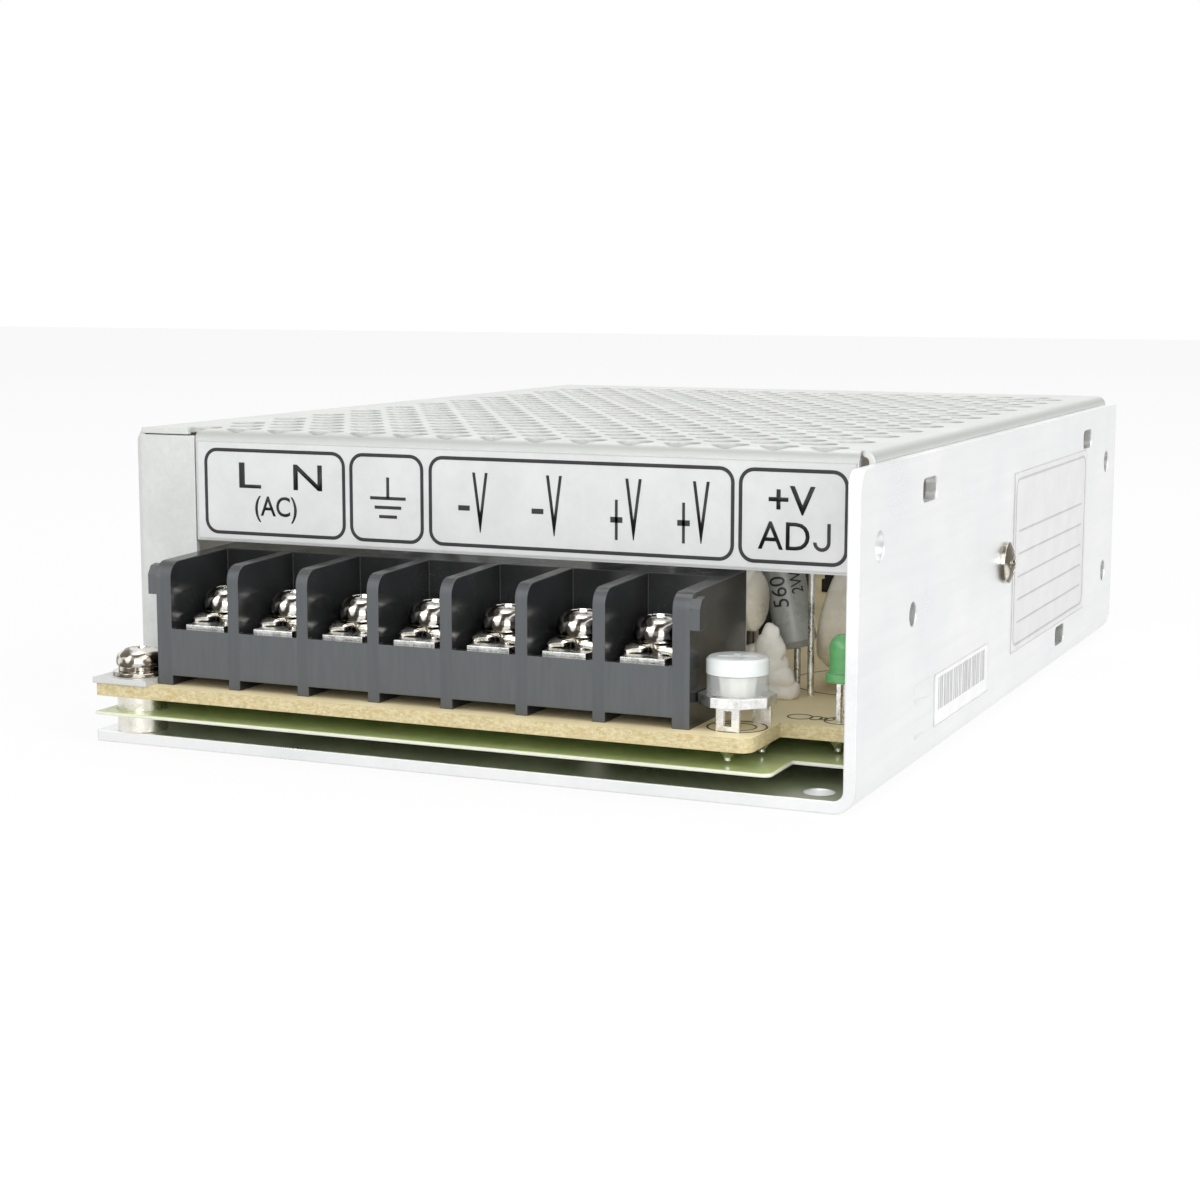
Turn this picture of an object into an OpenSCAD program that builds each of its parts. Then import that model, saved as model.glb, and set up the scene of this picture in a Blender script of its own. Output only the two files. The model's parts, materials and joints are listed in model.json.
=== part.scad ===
// Enclosed switching power supply: an aluminium chassis of a floor and one side
// wall, a perforated steel cover, and a circuit board with a barrier terminal block.
// X runs along the terminal end, Y from the terminal end to the back, and Z up.
// The origin is the middle of the case's underside.

/* [Case] */
// Width of the case
body_w = 97; // [96:0.5:110]
// Length of the case
body_l = 140; // [139:1:170]
// Height of the case
body_h = 38; // [37.5:0.5:46]
// Thickness of the chassis sheet
chassis_t = 1.4; // [1.2:0.1:1.8]
// Outer radius of the chassis fold
chassis_fold = 2.6; // [2.2:0.1:3.2]
// Drop from the cover's top to the side wall's top edge
wall_drop = 1.3; // [1:0.1:1.8]
// Corner radius at the side wall's upper front corner
wall_corner = 2; // [1:0.5:4]

/* [Cover] */
// Thickness of the cover sheet
cover_t = 0.7; // [0.5:0.1:0.9]
// Outer radius of the cover's folds
cover_fold = 1.3; // [1.1:0.1:1.6]
// Distance from the case's front edge back to the cover's front face
cover_setback = 9.8; // [9:0.1:12]
// Distance by which the cover's left wall stands outside the floor's edge
cover_out = 0.5; // [0:0.1:0.6]
// Gap between the terminal block's top and the marking flange
flange_clear = 1.7; // [1.2:0.1:3]
// Width of the strip down the cover's front left corner, and of its tab
strip_w = 8.5; // [7.5:0.1:8.6]
// Depth of the lip inside the side wall
lip_h = 5; // [3:0.5:7]
// Spacing of the round holes in the cover
mesh_pitch = 5.8; // [5.4:0.05:7]
// Diameter of the round holes in the cover
mesh_hole = 4.4; // [3:0.1:4.6]
// Shift of the hole field towards the side wall
mesh_shift = 1.2; // [0:0.1:1.5]
// Diameter of the cover's rear fixing screws
cover_screw_d = 3; // [2.5:0.5:3.5]
// Width of each of the chassis's rear tabs
rear_tab_w = 12; // [10:1:16]
// Height of each of the chassis's rear tabs above the floor's underside
rear_tab_h = 10; // [9:0.5:12]

/* [Side wall openings] */
// Length of the rectangular openings
slot_l = 6; // [4:0.5:8]
// Height of the rectangular openings
slot_h = 2.8; // [2:0.1:3.4]
// Height of the upper openings' middle below the case's top
slot_drop = 5.5; // [4:0.1:6.5]
// Distance of the front rectangular opening from the front edge
slot_front = 27.2; // [25:0.1:30]
// Distance of the rear rectangular opening from the rear edge
slot_rear = 22.5; // [20:0.1:26]
// Diameter of the fixing holes near the wall's ends
end_hole_d = 3.4; // [3:0.1:4]
// Distance of the end fixing holes from the wall's ends
end_hole_inset = 7.2; // [5:0.1:8.5]
// Height of the upper end holes above the underside
end_hole_z = 28; // [26:0.5:30]
// Height of the lower rear hole above the underside
low_hole_z = 10.6; // [10:0.1:13]
// Diameter of the threaded mounting hole
mount_hole_d = 2.9; // [2.5:0.1:3.9]
// Height of the threaded mounting hole above the underside
mount_hole_z = 18.8; // [18:0.1:19.4]
// Distance of the threaded mounting hole from the front edge
mount_hole_front = 20.9; // [18:0.1:22]
// Length of each pressed dimple low on the wall
dimple_l = 7; // [5:0.5:8]
// Height of each pressed dimple
dimple_h = 2.2; // [1.5:0.1:2.6]
// Distance of the dimples' middle from the front edge
dimple_front = 26; // [24:0.5:27]

/* [Circuit board] */
// Height of the board's underside above the case's underside
board_z = 6; // [5.6:0.1:8]
// Thickness of the board
board_t = 1.6; // [1.2:0.1:2]
// Distance that the board's front edge stands out of the case
board_overhang = 1.4; // [0:0.1:2]
// Width of the corner cut beside the side wall
notch_w = 9.6; // [9:0.1:10]
// Depth of the corner cut beside the side wall
notch_d = 10; // [8:0.1:11]
// Gap between the board and the case's walls
board_gap = 0.4; // [0.2:0.1:0.6]
// Height of the insulating sheet's underside
sheet_z = 3.7; // [3:0.1:4.5]
// Thickness of the insulating sheet
sheet_t = 0.4; // [0.2:0.1:0.6]
// Diameter of the standoffs
standoff_d = 6; // [5:0.1:6.5]
// Diameter of the board screws
board_screw_d = 3; // [2.5:0.5:3.5]
// Distance of the standoffs from the board's left edge
standoff_x = 3.8; // [3.6:0.1:4]
// Distance of the front standoff from the board's front edge
standoff_y = 4; // [3.8:0.1:5]

/* [Terminal block] */
// Spacing of the terminals
term_pitch = 9.5; // [9.3:0.1:9.6]
// Thickness of the barriers between terminals
barrier_t = 1.5; // [1:0.1:1.8]
// Extra thickness of the two end walls
end_wall_t = 0.55; // [0:0.05:0.8]
// Width of the lip at the top of each end wall
end_lip_w = 1.15; // [0:0.05:1.4]
// Depth of the block from front to back
block_d = 17.9; // [17:0.1:18.5]
// Depth of the open cells
cell_d = 12.5; // [12:0.1:12.8]
// Height of the barriers above the board
block_h = 15; // [14.6:0.1:15.4]
// Height of the low wall in front of the cells
low_wall_h = 6.9; // [6.7:0.1:7.2]
// Thickness of the low wall
low_wall_t = 1; // [0.8:0.1:1.2]
// Height of the feet under the block
foot_h = 1.2; // [0.8:0.1:1.6]
// Radius of the barriers' upper front corners
barrier_r = 1.9; // [1:0.1:3]
// Distance of the block's front face behind the case's front edge
block_setback = 0.7; // [0:0.1:1]
// Distance of the first barrier from the board's left edge
block_x = 8.9; // [8.8:0.1:9.2]
// Width of the terminal plates
plate_w = 6.6; // [6:0.1:7]
// Thickness of the terminal plates
plate_t = 1; // [0.8:0.1:1.2]
// Diameter of the terminal screws' threads
term_screw_d = 3.5; // [3:0.1:3.8]
// Diameter of the terminal screws' heads
term_head_d = 6.4; // [5.8:0.1:6.8]
// Height of the terminal screws' heads
term_head_h = 2.9; // [2:0.1:3.1]
// Thickness of the clamping washers
clamp_h = 1.3; // [1:0.1:1.4]
// Travel of each terminal screw out of its plate
screw_travel = 3; // [1:0.5:3]

/* [Trimmer and lamp] */
// Diameter of the trimmer's turning cap
trim_d = 7; // [6:0.1:7.4]
// Height of the trimmer's cap
trim_cap_h = 1.8; // [1.4:0.1:2.2]
// Height of the trimmer's metal legs
trim_leg_h = 2.7; // [2:0.1:3.2]
// Distance of the trimmer from the board's right edge
trim_x = 13.25; // [13.1:0.05:13.4]
// Distance of the trimmer behind the board's front edge
trim_y = 6; // [5.6:0.1:7]
// Diameter of the lamp's lens
lamp_d = 3.1; // [2.8:0.1:3.2]
// Height of the lamp's flange above the board
lamp_rise = 4.5; // [3:0.1:7]
// Distance of the lamp from the board's right edge
lamp_x = 3.7; // [3.5:0.1:4.5]
// Distance of the lamp behind the board's front edge
lamp_y = 13.9; // [13.4:0.1:15]

/* [Power parts] */
// Diameter of the bulk capacitors
bulk_d = 18; // [16:0.5:18.5]
// Height of the bulk capacitors
bulk_h = 25; // [18:0.5:27]
// Diameter of the output capacitors
out_cap_d = 10; // [8:0.5:10.5]
// Height of the output capacitors
out_cap_h = 20; // [12:0.5:25]
// Width of the transformer core
core_w = 28; // [24:0.5:29]
// Depth of the transformer core
core_d = 14; // [12:0.5:16]
// Height of the transformer core
core_h = 25; // [20:0.5:27]
// Outer radius of the output choke
choke_r = 9; // [7:0.1:9.4]
// Thickness of the output choke
choke_t = 7.5; // [6:0.1:7.8]
// Outer radius of the mains choke
line_choke_r = 9; // [7:0.1:9.5]
// Height of the mains filter capacitor
x_cap_h = 15; // [10:0.5:20]

/* [Hidden] */
$fn = 48;
terminals = 7;
eps = 0.01;

// Clearances and small sizes
slip = 0.1;
fold_relief = 0.3;
film_t = 0.1;
rear_gap = 3;
film_inset = 0.2;
rating_l = 47.2;
rating_h = 24.3;
serial_l = 26;
serial_h = 6.3;
strip_top = body_h - cover_t - 0.15;
strip_chamfer = 1.4;
strip_notch = 0.9;
dimple_z = [5, 9.2];
lance_depth = 0.9;
rear_screw_z = 7;
solder_h = 1.2;

// Planes of the case
left = -body_w / 2;
right = body_w / 2;
front = -body_l / 2;
rear = body_l / 2;
wall_in = right - chassis_t;
wall_top = body_h - wall_drop;
cover_y = front + cover_setback;
cover_x = wall_in - 0.15;
cover_left = left - cover_out;
strip_slit = 0.2;
corner_slit = 0.4;
flange_x0 = left + strip_w + strip_slit;
flange_x1 = cover_x - cover_fold - corner_slit;

// Planes of the board
board_top = board_z + board_t;
board_x0 = left + cover_t + board_gap;
board_x1 = wall_in - board_gap;
board_y0 = front - board_overhang;
board_y1 = rear - cover_t - chassis_t - rear_gap;
notch_x = board_x1 - notch_w;
notch_y = board_y0 + notch_d;
sheet_notch_x = notch_x + 2.4;
sheet_notch_y = notch_y - 2.8;

// Height at which the cover's tab lies on the board
tab_top = board_top + cover_t;

// Top of the terminal block's barriers, and the marking flange's lower edge
block_top = board_top + block_h;
block_rise = 0.5;
flange_low = block_top + flange_clear;

// Terminal block
block_x0 = board_x0 + block_x;
block_x1 = block_x0 + terminals * term_pitch;
block_y0 = front + block_setback;
block_y1 = block_y0 + block_d;
cell_y1 = block_y0 + cell_d;
cell_floor = board_top + low_wall_h - 0.5;
plate_top = cell_floor + plate_t;
clamp_top = plate_top + clamp_h;
screw_y = block_y0 + 6.5;
pin_w = 3;
pin_d = 1;
pin_y = cell_y1 + 2.4;
function term_x(i) = block_x0 + (i - 0.5) * term_pitch;

// Places of the board's screws: front left, rear left, rear right and middle
board_screw_xy = [
    [board_x0 + standoff_x, board_y0 + standoff_y],
    [board_x0 + standoff_x, board_y1 - standoff_y],
    [board_x1 - standoff_x - 1.6, board_y1 - standoff_y],
    [board_x0 + 55.4, board_y0 + 26]
];
screw_clear = 0.2;
washer_t = 0.5;
spring_t = 0.7;
board_head_h = 2.2;
board_head_d = 2 * board_screw_d + 0.1;

// Places of the trimmer and the lamp
trim_c = [board_x1 - trim_x, board_y0 + trim_y];
lamp_c = [board_x1 - lamp_x, board_y0 + lamp_y];
trim_ring_z = board_top + trim_leg_h;
trim_ring_t = 1.1;
trim_cap_z = trim_ring_z + trim_ring_t + 2.3;
trim_front_leg = [trim_c[0], trim_c[1] - 2.9];
trim_rear_leg = [trim_c[0] + 1.9, trim_c[1] + 2.9];
trim_leg_t = 0.5;
lead_pitch = 2.54;
lead_w = 0.5;

// Places of the parts behind the terminal block
snubber_c = [block_x1 + 0.4, block_y1 + 4];
resistor_c = [board_x1 - 14.5, block_y1 + 10.3];
choke_c = [board_x1 - 7.8, block_y1 + 18];
out_cap_c = [block_x1 - 8.5, block_y1 + 15];

// Wall screw and the rectifier that it clamps
wall_screw_y = front + 65.5;
wall_screw_z = 19.6;
wall_screw_d = 3;
pad_t = 0.3;
tab_t = 1.3;

// Sheet metal -------------------------------------------------------------

// Quarter ring about a line along X at [y, z], on the side given by sy and sz
module fold_x(x0, x1, y, z, sy, sz, r, t) {
    translate([x0, y, z])
        intersection() {
            rotate([0, 90, 0])
                difference() {
                    cylinder(r = r, h = x1 - x0);
                    translate([0, 0, -1]) cylinder(r = r - t, h = x1 - x0 + 2);
                }
            translate([0, sy > 0 ? 0 : -r, sz > 0 ? 0 : -r]) cube([x1 - x0, r, r]);
        }
}

// Quarter ring about a line along Y at [x, z]
module fold_y(y0, y1, x, z, sx, sz, r, t) {
    translate([x, y0, z])
        intersection() {
            rotate([-90, 0, 0])
                difference() {
                    cylinder(r = r, h = y1 - y0);
                    translate([0, 0, -1]) cylinder(r = r - t, h = y1 - y0 + 2);
                }
            translate([sx > 0 ? 0 : -r, 0, sz > 0 ? 0 : -r]) cube([r, y1 - y0, r]);
        }
}

// Quarter ring about a line along Z at [x, y]
module fold_z(z0, z1, x, y, sx, sy, r, t) {
    translate([x, y, z0])
        intersection() {
            difference() {
                cylinder(r = r, h = z1 - z0);
                translate([0, 0, -1]) cylinder(r = r - t, h = z1 - z0 + 2);
            }
            translate([sx > 0 ? 0 : -r, sy > 0 ? 0 : -r, 0]) cube([r, r, z1 - z0]);
        }
}

// Box between two corners
module box(a, b) {
    translate(a) cube(b - a);
}

// Round-ended slot through the side wall, its length along Y
module wall_slot(y, z, l, h) {
    r = h * 0.3;
    translate([wall_in - 1, y, z])
        rotate([0, 90, 0])
            linear_extrude(chassis_t + 2)
                polygon([
                    for (c = [[1, 1], [-1, 1], [-1, -1], [1, -1]])
                        for (a = [0:30:90])
                            let (turn = c[0] > 0 ? (c[1] > 0 ? a : a + 270) : (c[1] > 0 ? a + 90 : a + 180))
                                [c[0] * (h / 2 - r) + r * cos(turn), c[1] * (l / 2 - r) + r * sin(turn)]
                ]);
}

module wall_hole(y, z, d) {
    translate([wall_in - 1, y, z]) rotate([0, 90, 0]) cylinder(d = d, h = chassis_t + 2);
}

// Chassis: floor, side wall and two rear tabs, folded from one sheet
rear_tab_x = [left + 22, right - 22];
module chassis() {
    floor_y1 = rear - cover_t - chassis_fold;
    floor_end = rear - cover_t - slip;
    color("gainsboro")
        difference() {
            union() {
                difference() {
                    union() {
                        box([left, front, 0], [right - chassis_fold, cover_y - slip, chassis_t]);
                        box([cover_left + cover_t + slip, front, 0], [right - chassis_fold, floor_end, chassis_t]);
                    }
                    for (x = rear_tab_x)
                        box([x - rear_tab_w / 2 - 1, floor_y1, -1], [x + rear_tab_w / 2 + 1, rear, chassis_t + 1]);
                }
                box([wall_in, front, chassis_fold], [right, rear, wall_top]);
                fold_y(front, floor_end, right - chassis_fold, chassis_fold, 1, -1, chassis_fold, chassis_t);
                for (x = rear_tab_x) {
                    box([x - rear_tab_w / 2, rear - cover_t - chassis_t, chassis_fold],
                        [x + rear_tab_w / 2, rear - cover_t, rear_tab_h]);
                    fold_x(x - rear_tab_w / 2, x + rear_tab_w / 2, floor_y1, chassis_fold, 1, -1,
                        chassis_fold, chassis_t);
                }
                // Collar drawn out of the wall round the threaded hole
                translate([wall_in - 1.2, front + mount_hole_front, mount_hole_z])
                    rotate([0, 90, 0]) cylinder(d = mount_hole_d + 1.4, h = 1.2 + eps);
            }
            for (y = [front + slot_front, rear - slot_rear])
                wall_slot(y, body_h - slot_drop, slot_l, slot_h);
            wall_slot(front + 101.2, 4.8, slot_l, slot_h);
            for (y = [front + end_hole_inset, rear - end_hole_inset]) wall_hole(y, end_hole_z, end_hole_d);
            wall_hole(rear - end_hole_inset, low_hole_z, end_hole_d);
            wall_hole(wall_screw_y, wall_screw_z, wall_screw_d + 2 * screw_clear);
            translate([wall_in - 2, front + mount_hole_front, mount_hole_z])
                rotate([0, 90, 0]) cylinder(d = mount_hole_d, h = chassis_t + 3);
            for (z = dimple_z)
                translate([right - lance_depth, front + dimple_front - dimple_l / 2, z - dimple_h / 2])
                    linear_extrude(dimple_h)
                        polygon([[lance_depth + eps, 0], [lance_depth + eps, dimple_l], [lance_depth, dimple_l], [0, dimple_l * 0.2], [0, 0]]);
            // Rounded upper front corner
            difference() {
                box([wall_in - 1, front - 1, wall_top - wall_corner], [right + 1, front + wall_corner, wall_top + 1]);
                translate([wall_in - 2, front + wall_corner, wall_top - wall_corner])
                    rotate([0, 90, 0]) cylinder(r = wall_corner, h = chassis_t + 4);
            }
            // Floor mounting holes
            for (p = floor_holes)
                translate([p[0], p[1], -1]) cylinder(d = floor_hole_d, h = chassis_t + 2);
            for (x = rear_tab_x)
                translate([x, rear - cover_t - chassis_t - 1, rear_screw_z])
                    rotate([-90, 0, 0]) cylinder(d = cover_screw_d, h = chassis_t + 1.5);
            for (p = board_screw_xy)
                translate([p[0], p[1], -1]) cylinder(d = standoff_shank_d, h = chassis_t + 2);
        }
}
floor_hole_d = 3.5;
floor_holes = [
    [right - 5.2, front + 3.6],
    [right - 5.2, rear - 12],
    [left + 12, rear - 12],
    [left + 12, front + 22]
];
standoff_shank_d = 4.2;

// Cover: top, left wall, marking flange, corner strip with its tab, inner lip and back
module cover() {
    top_z = body_h - cover_t;
    back_in = rear - cover_fold;
    color("silver")
        difference() {
            union() {
                box([cover_left + cover_fold, cover_y + cover_fold, top_z], [cover_x - cover_fold, back_in, body_h]);
                box([cover_left + cover_fold, cover_y, top_z],
                    [left + strip_w - strip_notch, cover_y + cover_fold + eps, body_h]);
                // Marking flange
                fold_x(flange_x0, flange_x1, cover_y + cover_fold, body_h - cover_fold, -1, 1, cover_fold, cover_t);
                box([flange_x0, cover_y, flange_low], [flange_x1, cover_y + cover_t, body_h - cover_fold]);
                // Lip inside the side wall
                fold_y(cover_y + corner_slit, back_in, cover_x - cover_fold, body_h - cover_fold, 1, 1,
                    cover_fold, cover_t);
                box([cover_x - cover_t, cover_y + corner_slit, body_h - lip_h],
                    [cover_x, back_in, body_h - cover_fold]);
                // Back
                fold_x(cover_left + cover_fold, cover_x - cover_fold, back_in, body_h - cover_fold, 1, 1,
                    cover_fold, cover_t);
                box([cover_left + cover_fold, rear - cover_t, fold_relief], [cover_x - cover_fold, rear, body_h - cover_fold]);
                box([cover_left, rear - cover_t, fold_relief], [cover_x, rear, body_h - cover_fold - fold_relief]);
                // Left wall
                fold_y(cover_y + cover_fold, back_in, cover_left + cover_fold, body_h - cover_fold, -1, 1,
                    cover_fold, cover_t);
                box([cover_left, cover_y + cover_fold, fold_relief], [cover_left + cover_t, back_in, body_h - cover_fold]);
                box([cover_left, back_in - eps, fold_relief], [cover_left + cover_t, rear - cover_t - slip, body_h - cover_fold - fold_relief]);
                // Corner strip
                fold_z(tab_top - cover_t, strip_top, cover_left + cover_fold, cover_y + cover_fold, -1, -1,
                    cover_fold, cover_t);
                box([cover_left + cover_fold, cover_y, tab_top + tab_fold - cover_t], [left + strip_w, cover_y + cover_t, strip_top]);
                // Tab on the board
                fold_x(cover_left + cover_fold, left + strip_w, cover_y + cover_t - tab_fold, board_top + tab_fold, 1, -1,
                    tab_fold, cover_t);
                box([board_x0 - 0.3, board_y0 - 0.4, board_top],
                    [left + strip_w, cover_y + cover_t - tab_fold, tab_top]);
            }
            mesh_holes();
            // Chamfer at the strip's outer top corner
            translate([cover_left, cover_y - 1, strip_top])
                rotate([0, 45, 0]) translate([-strip_chamfer, 0, -strip_chamfer] / 2)
                    cube([strip_chamfer, 1 + cover_fold, strip_chamfer]);
            translate([board_screw_xy[0][0], board_screw_xy[0][1], board_top - 1])
                cylinder(d = board_screw_d + 2 * screw_clear, h = cover_t + 2);
            for (x = rear_tab_x)
                translate([x, rear - cover_t - 1, rear_screw_z])
                    rotate([-90, 0, 0]) cylinder(d = cover_screw_d + 2 * screw_clear, h = cover_t + 2);
            // Clear of the floor at the strip
            box([left - 1, cover_y - 1, -1], [cover_left + cover_fold + eps, cover_y + cover_fold + 0.2, tab_top - cover_t]);
        }
}
tab_fold = cover_t + 0.6;

mesh_row = mesh_pitch * sqrt(3) / 2;
mesh_x = (left + cover_x) / 2 + mesh_shift;
mesh_y0 = cover_y + 2.7;
mesh_rows = floor((rear - 5.5 - mesh_hole / 2 - mesh_y0) / mesh_row) + 1;
mesh_half = (cover_x - left) / 2 - mesh_shift - cover_fold - mesh_hole / 2 - 0.3;

// Staggered rows of round holes over the cover's top
module mesh_holes() {
    for (row = [0:mesh_rows - 1]) {
        offset_x = row % 2 == 0 ? 0 : mesh_pitch / 2;
        count = floor((mesh_half - offset_x) / mesh_pitch);
        first = row % 2 == 0 ? -count : -count - 1;
        for (i = [first:count])
            translate([mesh_x + offset_x + i * mesh_pitch, mesh_y0 + row * mesh_row, body_h - cover_t - 0.2])
                cylinder(d = mesh_hole, h = cover_t + 1, $fn = 24);
    }
}

// Thin printed films ------------------------------------------------------

module front_label() {
    color("whitesmoke")
        box([flange_x0 + film_inset, cover_y - film_t, flange_low + film_inset],
            [flange_x1 - film_inset, cover_y, body_h - cover_fold - film_inset / 2]);
}

module rating_label() {
    color("gainsboro")
        box([right, front + 69.8, 6.7], [right + film_t, front + 69.8 + rating_l, 6.7 + rating_h]);
}

module serial_label() {
    color("white")
        box([right, front + 31, 3.9], [right + film_t, front + 31 + serial_l, 3.9 + serial_h]);
}

// Board and what holds it ---------------------------------------------------

// Outline of a sheet under the cover with a square corner cut at the front right
module notched_outline(x0, x1, y0, y1, nx, ny, r) {
    polygon(concat(
        [[x0, y0], [nx - r, y0]],
        [for (a = [0:15:90]) [nx - r + r * sin(a), y0 + r - r * cos(a)]],
        [[nx, ny], [x1, ny], [x1, y1], [x0, y1]]
    ));
}

module insulating_sheet() {
    color("palegoldenrod")
        translate([0, 0, sheet_z])
            difference() {
                linear_extrude(sheet_t)
                    notched_outline(board_x0, board_x1, board_y0 - 0.4, board_y1, sheet_notch_x, sheet_notch_y, 1);
                for (p = board_screw_xy)
                    translate([p[0], p[1], -1]) cylinder(d = standoff_d + 2 * slip, h = sheet_t + 2);
            }
}

module circuit_board() {
    color("burlywood")
        translate([0, 0, board_z])
            difference() {
                linear_extrude(board_t)
                    notched_outline(board_x0, board_x1, board_y0, board_y1, notch_x, notch_y, 1.5);
                for (p = board_screw_xy)
                    translate([p[0], p[1], -1]) cylinder(d = board_screw_d + 2 * screw_clear, h = board_t + 2);
            }
}

module board_standoffs() {
    color("lightgray")
        for (p = board_screw_xy)
            translate([p[0], p[1], 0])
                difference() {
                    union() {
                        cylinder(d = standoff_shank_d - 2 * slip, h = chassis_t);
                        translate([0, 0, chassis_t]) cylinder(d = standoff_d, h = board_z - chassis_t);
                    }
                    translate([0, 0, -1]) cylinder(d = board_screw_d + slip, h = board_z + 2);
                }
}

// Height of the face that each board screw presses on
function stack_z(i) = i == 0 ? tab_top : board_top;

module flat_washers() {
    color("silver")
        for (i = [0:len(board_screw_xy) - 1])
            translate([board_screw_xy[i][0], board_screw_xy[i][1], stack_z(i)])
                difference() {
                    cylinder(r = board_screw_d * 1.15, h = washer_t);
                    translate([0, 0, -1]) cylinder(d = board_screw_d + screw_clear, h = washer_t + 2);
                }
}

module spring_washers() {
    color("silver")
        for (i = [0:len(board_screw_xy) - 1])
            translate([board_screw_xy[i][0], board_screw_xy[i][1], stack_z(i) + washer_t])
                difference() {
                    cylinder(r = board_screw_d * 0.93, h = spring_t);
                    translate([0, 0, -1]) cylinder(d = board_screw_d + screw_clear, h = spring_t + 2);
                    rotate(-60) translate([0, -spring_t / 2, -1]) cube([board_screw_d, spring_t, spring_t + 2]);
                }
}

// Screw head with a domed top, standing on z = 0
module domed_head(d, h) {
    rise = h * 0.55;
    ball_r = (pow(d / 2, 2) + pow(rise, 2)) / (2 * rise);
    intersection() {
        cylinder(d = d, h = h);
        translate([0, 0, h - ball_r]) sphere(r = ball_r);
    }
}

// Domed screw standing on z = 0 with its shaft below, and a cross recess
module pan_screw(d, head_d, head_h, length) {
    difference() {
        union() {
            translate([0, 0, -length]) cylinder(d = d, h = length + eps);
            domed_head(head_d, head_h);
        }
        for (a = [0, 90])
            rotate(a) translate([-head_d * 0.28, -head_d * 0.07, head_h * 0.45])
                cube([head_d * 0.56, head_d * 0.14, head_h]);
    }
}

module board_screws() {
    color("silver")
        for (i = [0:len(board_screw_xy) - 1])
            translate([board_screw_xy[i][0], board_screw_xy[i][1], stack_z(i) + washer_t + spring_t])
                pan_screw(board_screw_d, board_head_d, board_head_h, stack_z(i) + washer_t + spring_t - 2.5);
}

module cover_screws() {
    color("silver")
        for (x = rear_tab_x)
            translate([x, rear, rear_screw_z])
                rotate([-90, 0, 0]) pan_screw(cover_screw_d - 0.1, cover_screw_d * 1.85, 1.6, 4.5);
}

// Places of the soldered leads, as seen from below
solder_xy = concat(
    [for (i = [1:terminals]) [term_x(i), pin_y]],
    [trim_front_leg, trim_rear_leg],
    [for (s = [-1, 1]) [lamp_c[0], lamp_c[1] + s * lead_pitch / 2]]
);

module solder_joints() {
    color("silver")
        for (p = solder_xy)
            translate([p[0], p[1], board_z - solder_h]) {
                cylinder(r1 = 0.45, r2 = 1.3, h = solder_h);
                translate([0, 0, -0.4]) cylinder(r = 0.4, h = 0.4 + eps);
            }
}

// Terminal block ------------------------------------------------------------

// Outline in Y and Z, carried along X from x0 to x1
module slab_x(x0, x1, points) {
    translate([x0, 0, 0]) rotate([90, 0, 90]) linear_extrude(x1 - x0) polygon(points);
}

foot_top = board_top + foot_h;
end_x0 = block_x0 - barrier_t / 2 - end_wall_t;
end_x1 = block_x1 + barrier_t / 2 + end_wall_t;

// Side outline of a barrier, with its round upper front corner and its sloping top
barrier_side = concat(
    [[block_y0, board_top], [block_y1, board_top], [block_y1, block_top + block_rise]],
    [for (a = [90:15:180])
        [block_y0 + barrier_r + barrier_r * cos(a), block_top - barrier_r + barrier_r * sin(a)]]
);

module terminal_block() {
    color("dimgray")
        difference() {
            union() {
                for (i = [0:terminals])
                    slab_x(block_x0 + i * term_pitch - barrier_t / 2 - (i == 0 ? end_wall_t : 0),
                        block_x0 + i * term_pitch + barrier_t / 2 + (i == terminals ? end_wall_t : 0), barrier_side);
                slab_x(end_x0, end_x1, [
                    [block_y0, foot_top], [block_y1, foot_top], [block_y1, block_top + block_rise],
                    [cell_y1, block_top + block_rise * cell_d / block_d], [cell_y1, cell_floor],
                    [block_y0 + low_wall_t + groove_w, cell_floor],
                    [block_y0 + low_wall_t + groove_w, cell_floor - groove_d],
                    [block_y0 + low_wall_t, cell_floor - groove_d],
                    [block_y0 + low_wall_t, foot_top + low_wall_h - foot_h], [block_y0, foot_top + low_wall_h - foot_h]
                ]);
                // Outward lips at the top front of the end walls
                for (x = [end_x0 - end_lip_w, end_x1 - eps])
                    slab_x(x, x + end_lip_w + eps, [
                        [block_y0, block_top - end_lip_h], [block_y0 + end_lip_d, block_top - end_lip_h],
                        [block_y0 + end_lip_d, block_top - 0.4], [block_y0 + 0.6, block_top - 0.6], [block_y0, block_top - 1.6]
                    ]);
            }
            for (i = [1:terminals])
                translate([term_x(i), 0, 0]) {
                    // Room for the screw's end, and slots for the plate's tail and pin
                    translate([0, screw_y, screw_end_z - 0.3]) cylinder(d = term_screw_d + 0.8, h = block_h);
                    box([-pin_w / 2 - slip / 2, cell_y1 - eps, cell_floor - eps], [pin_w / 2 + slip / 2, pin_y + pin_d / 2 + slip / 2, plate_top + slip / 2]);
                    box([-pin_w / 2 - slip / 2, pin_y - pin_d / 2 - slip / 2, board_top - 1],
                        [pin_w / 2 + slip / 2, pin_y + pin_d / 2 + slip / 2, plate_top]);
                }
        }
}
end_lip_h = 4;
end_lip_d = 1.6;
groove_w = 1.1;
groove_d = 1.2;
screw_end_z = cell_floor - 4.5;

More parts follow.
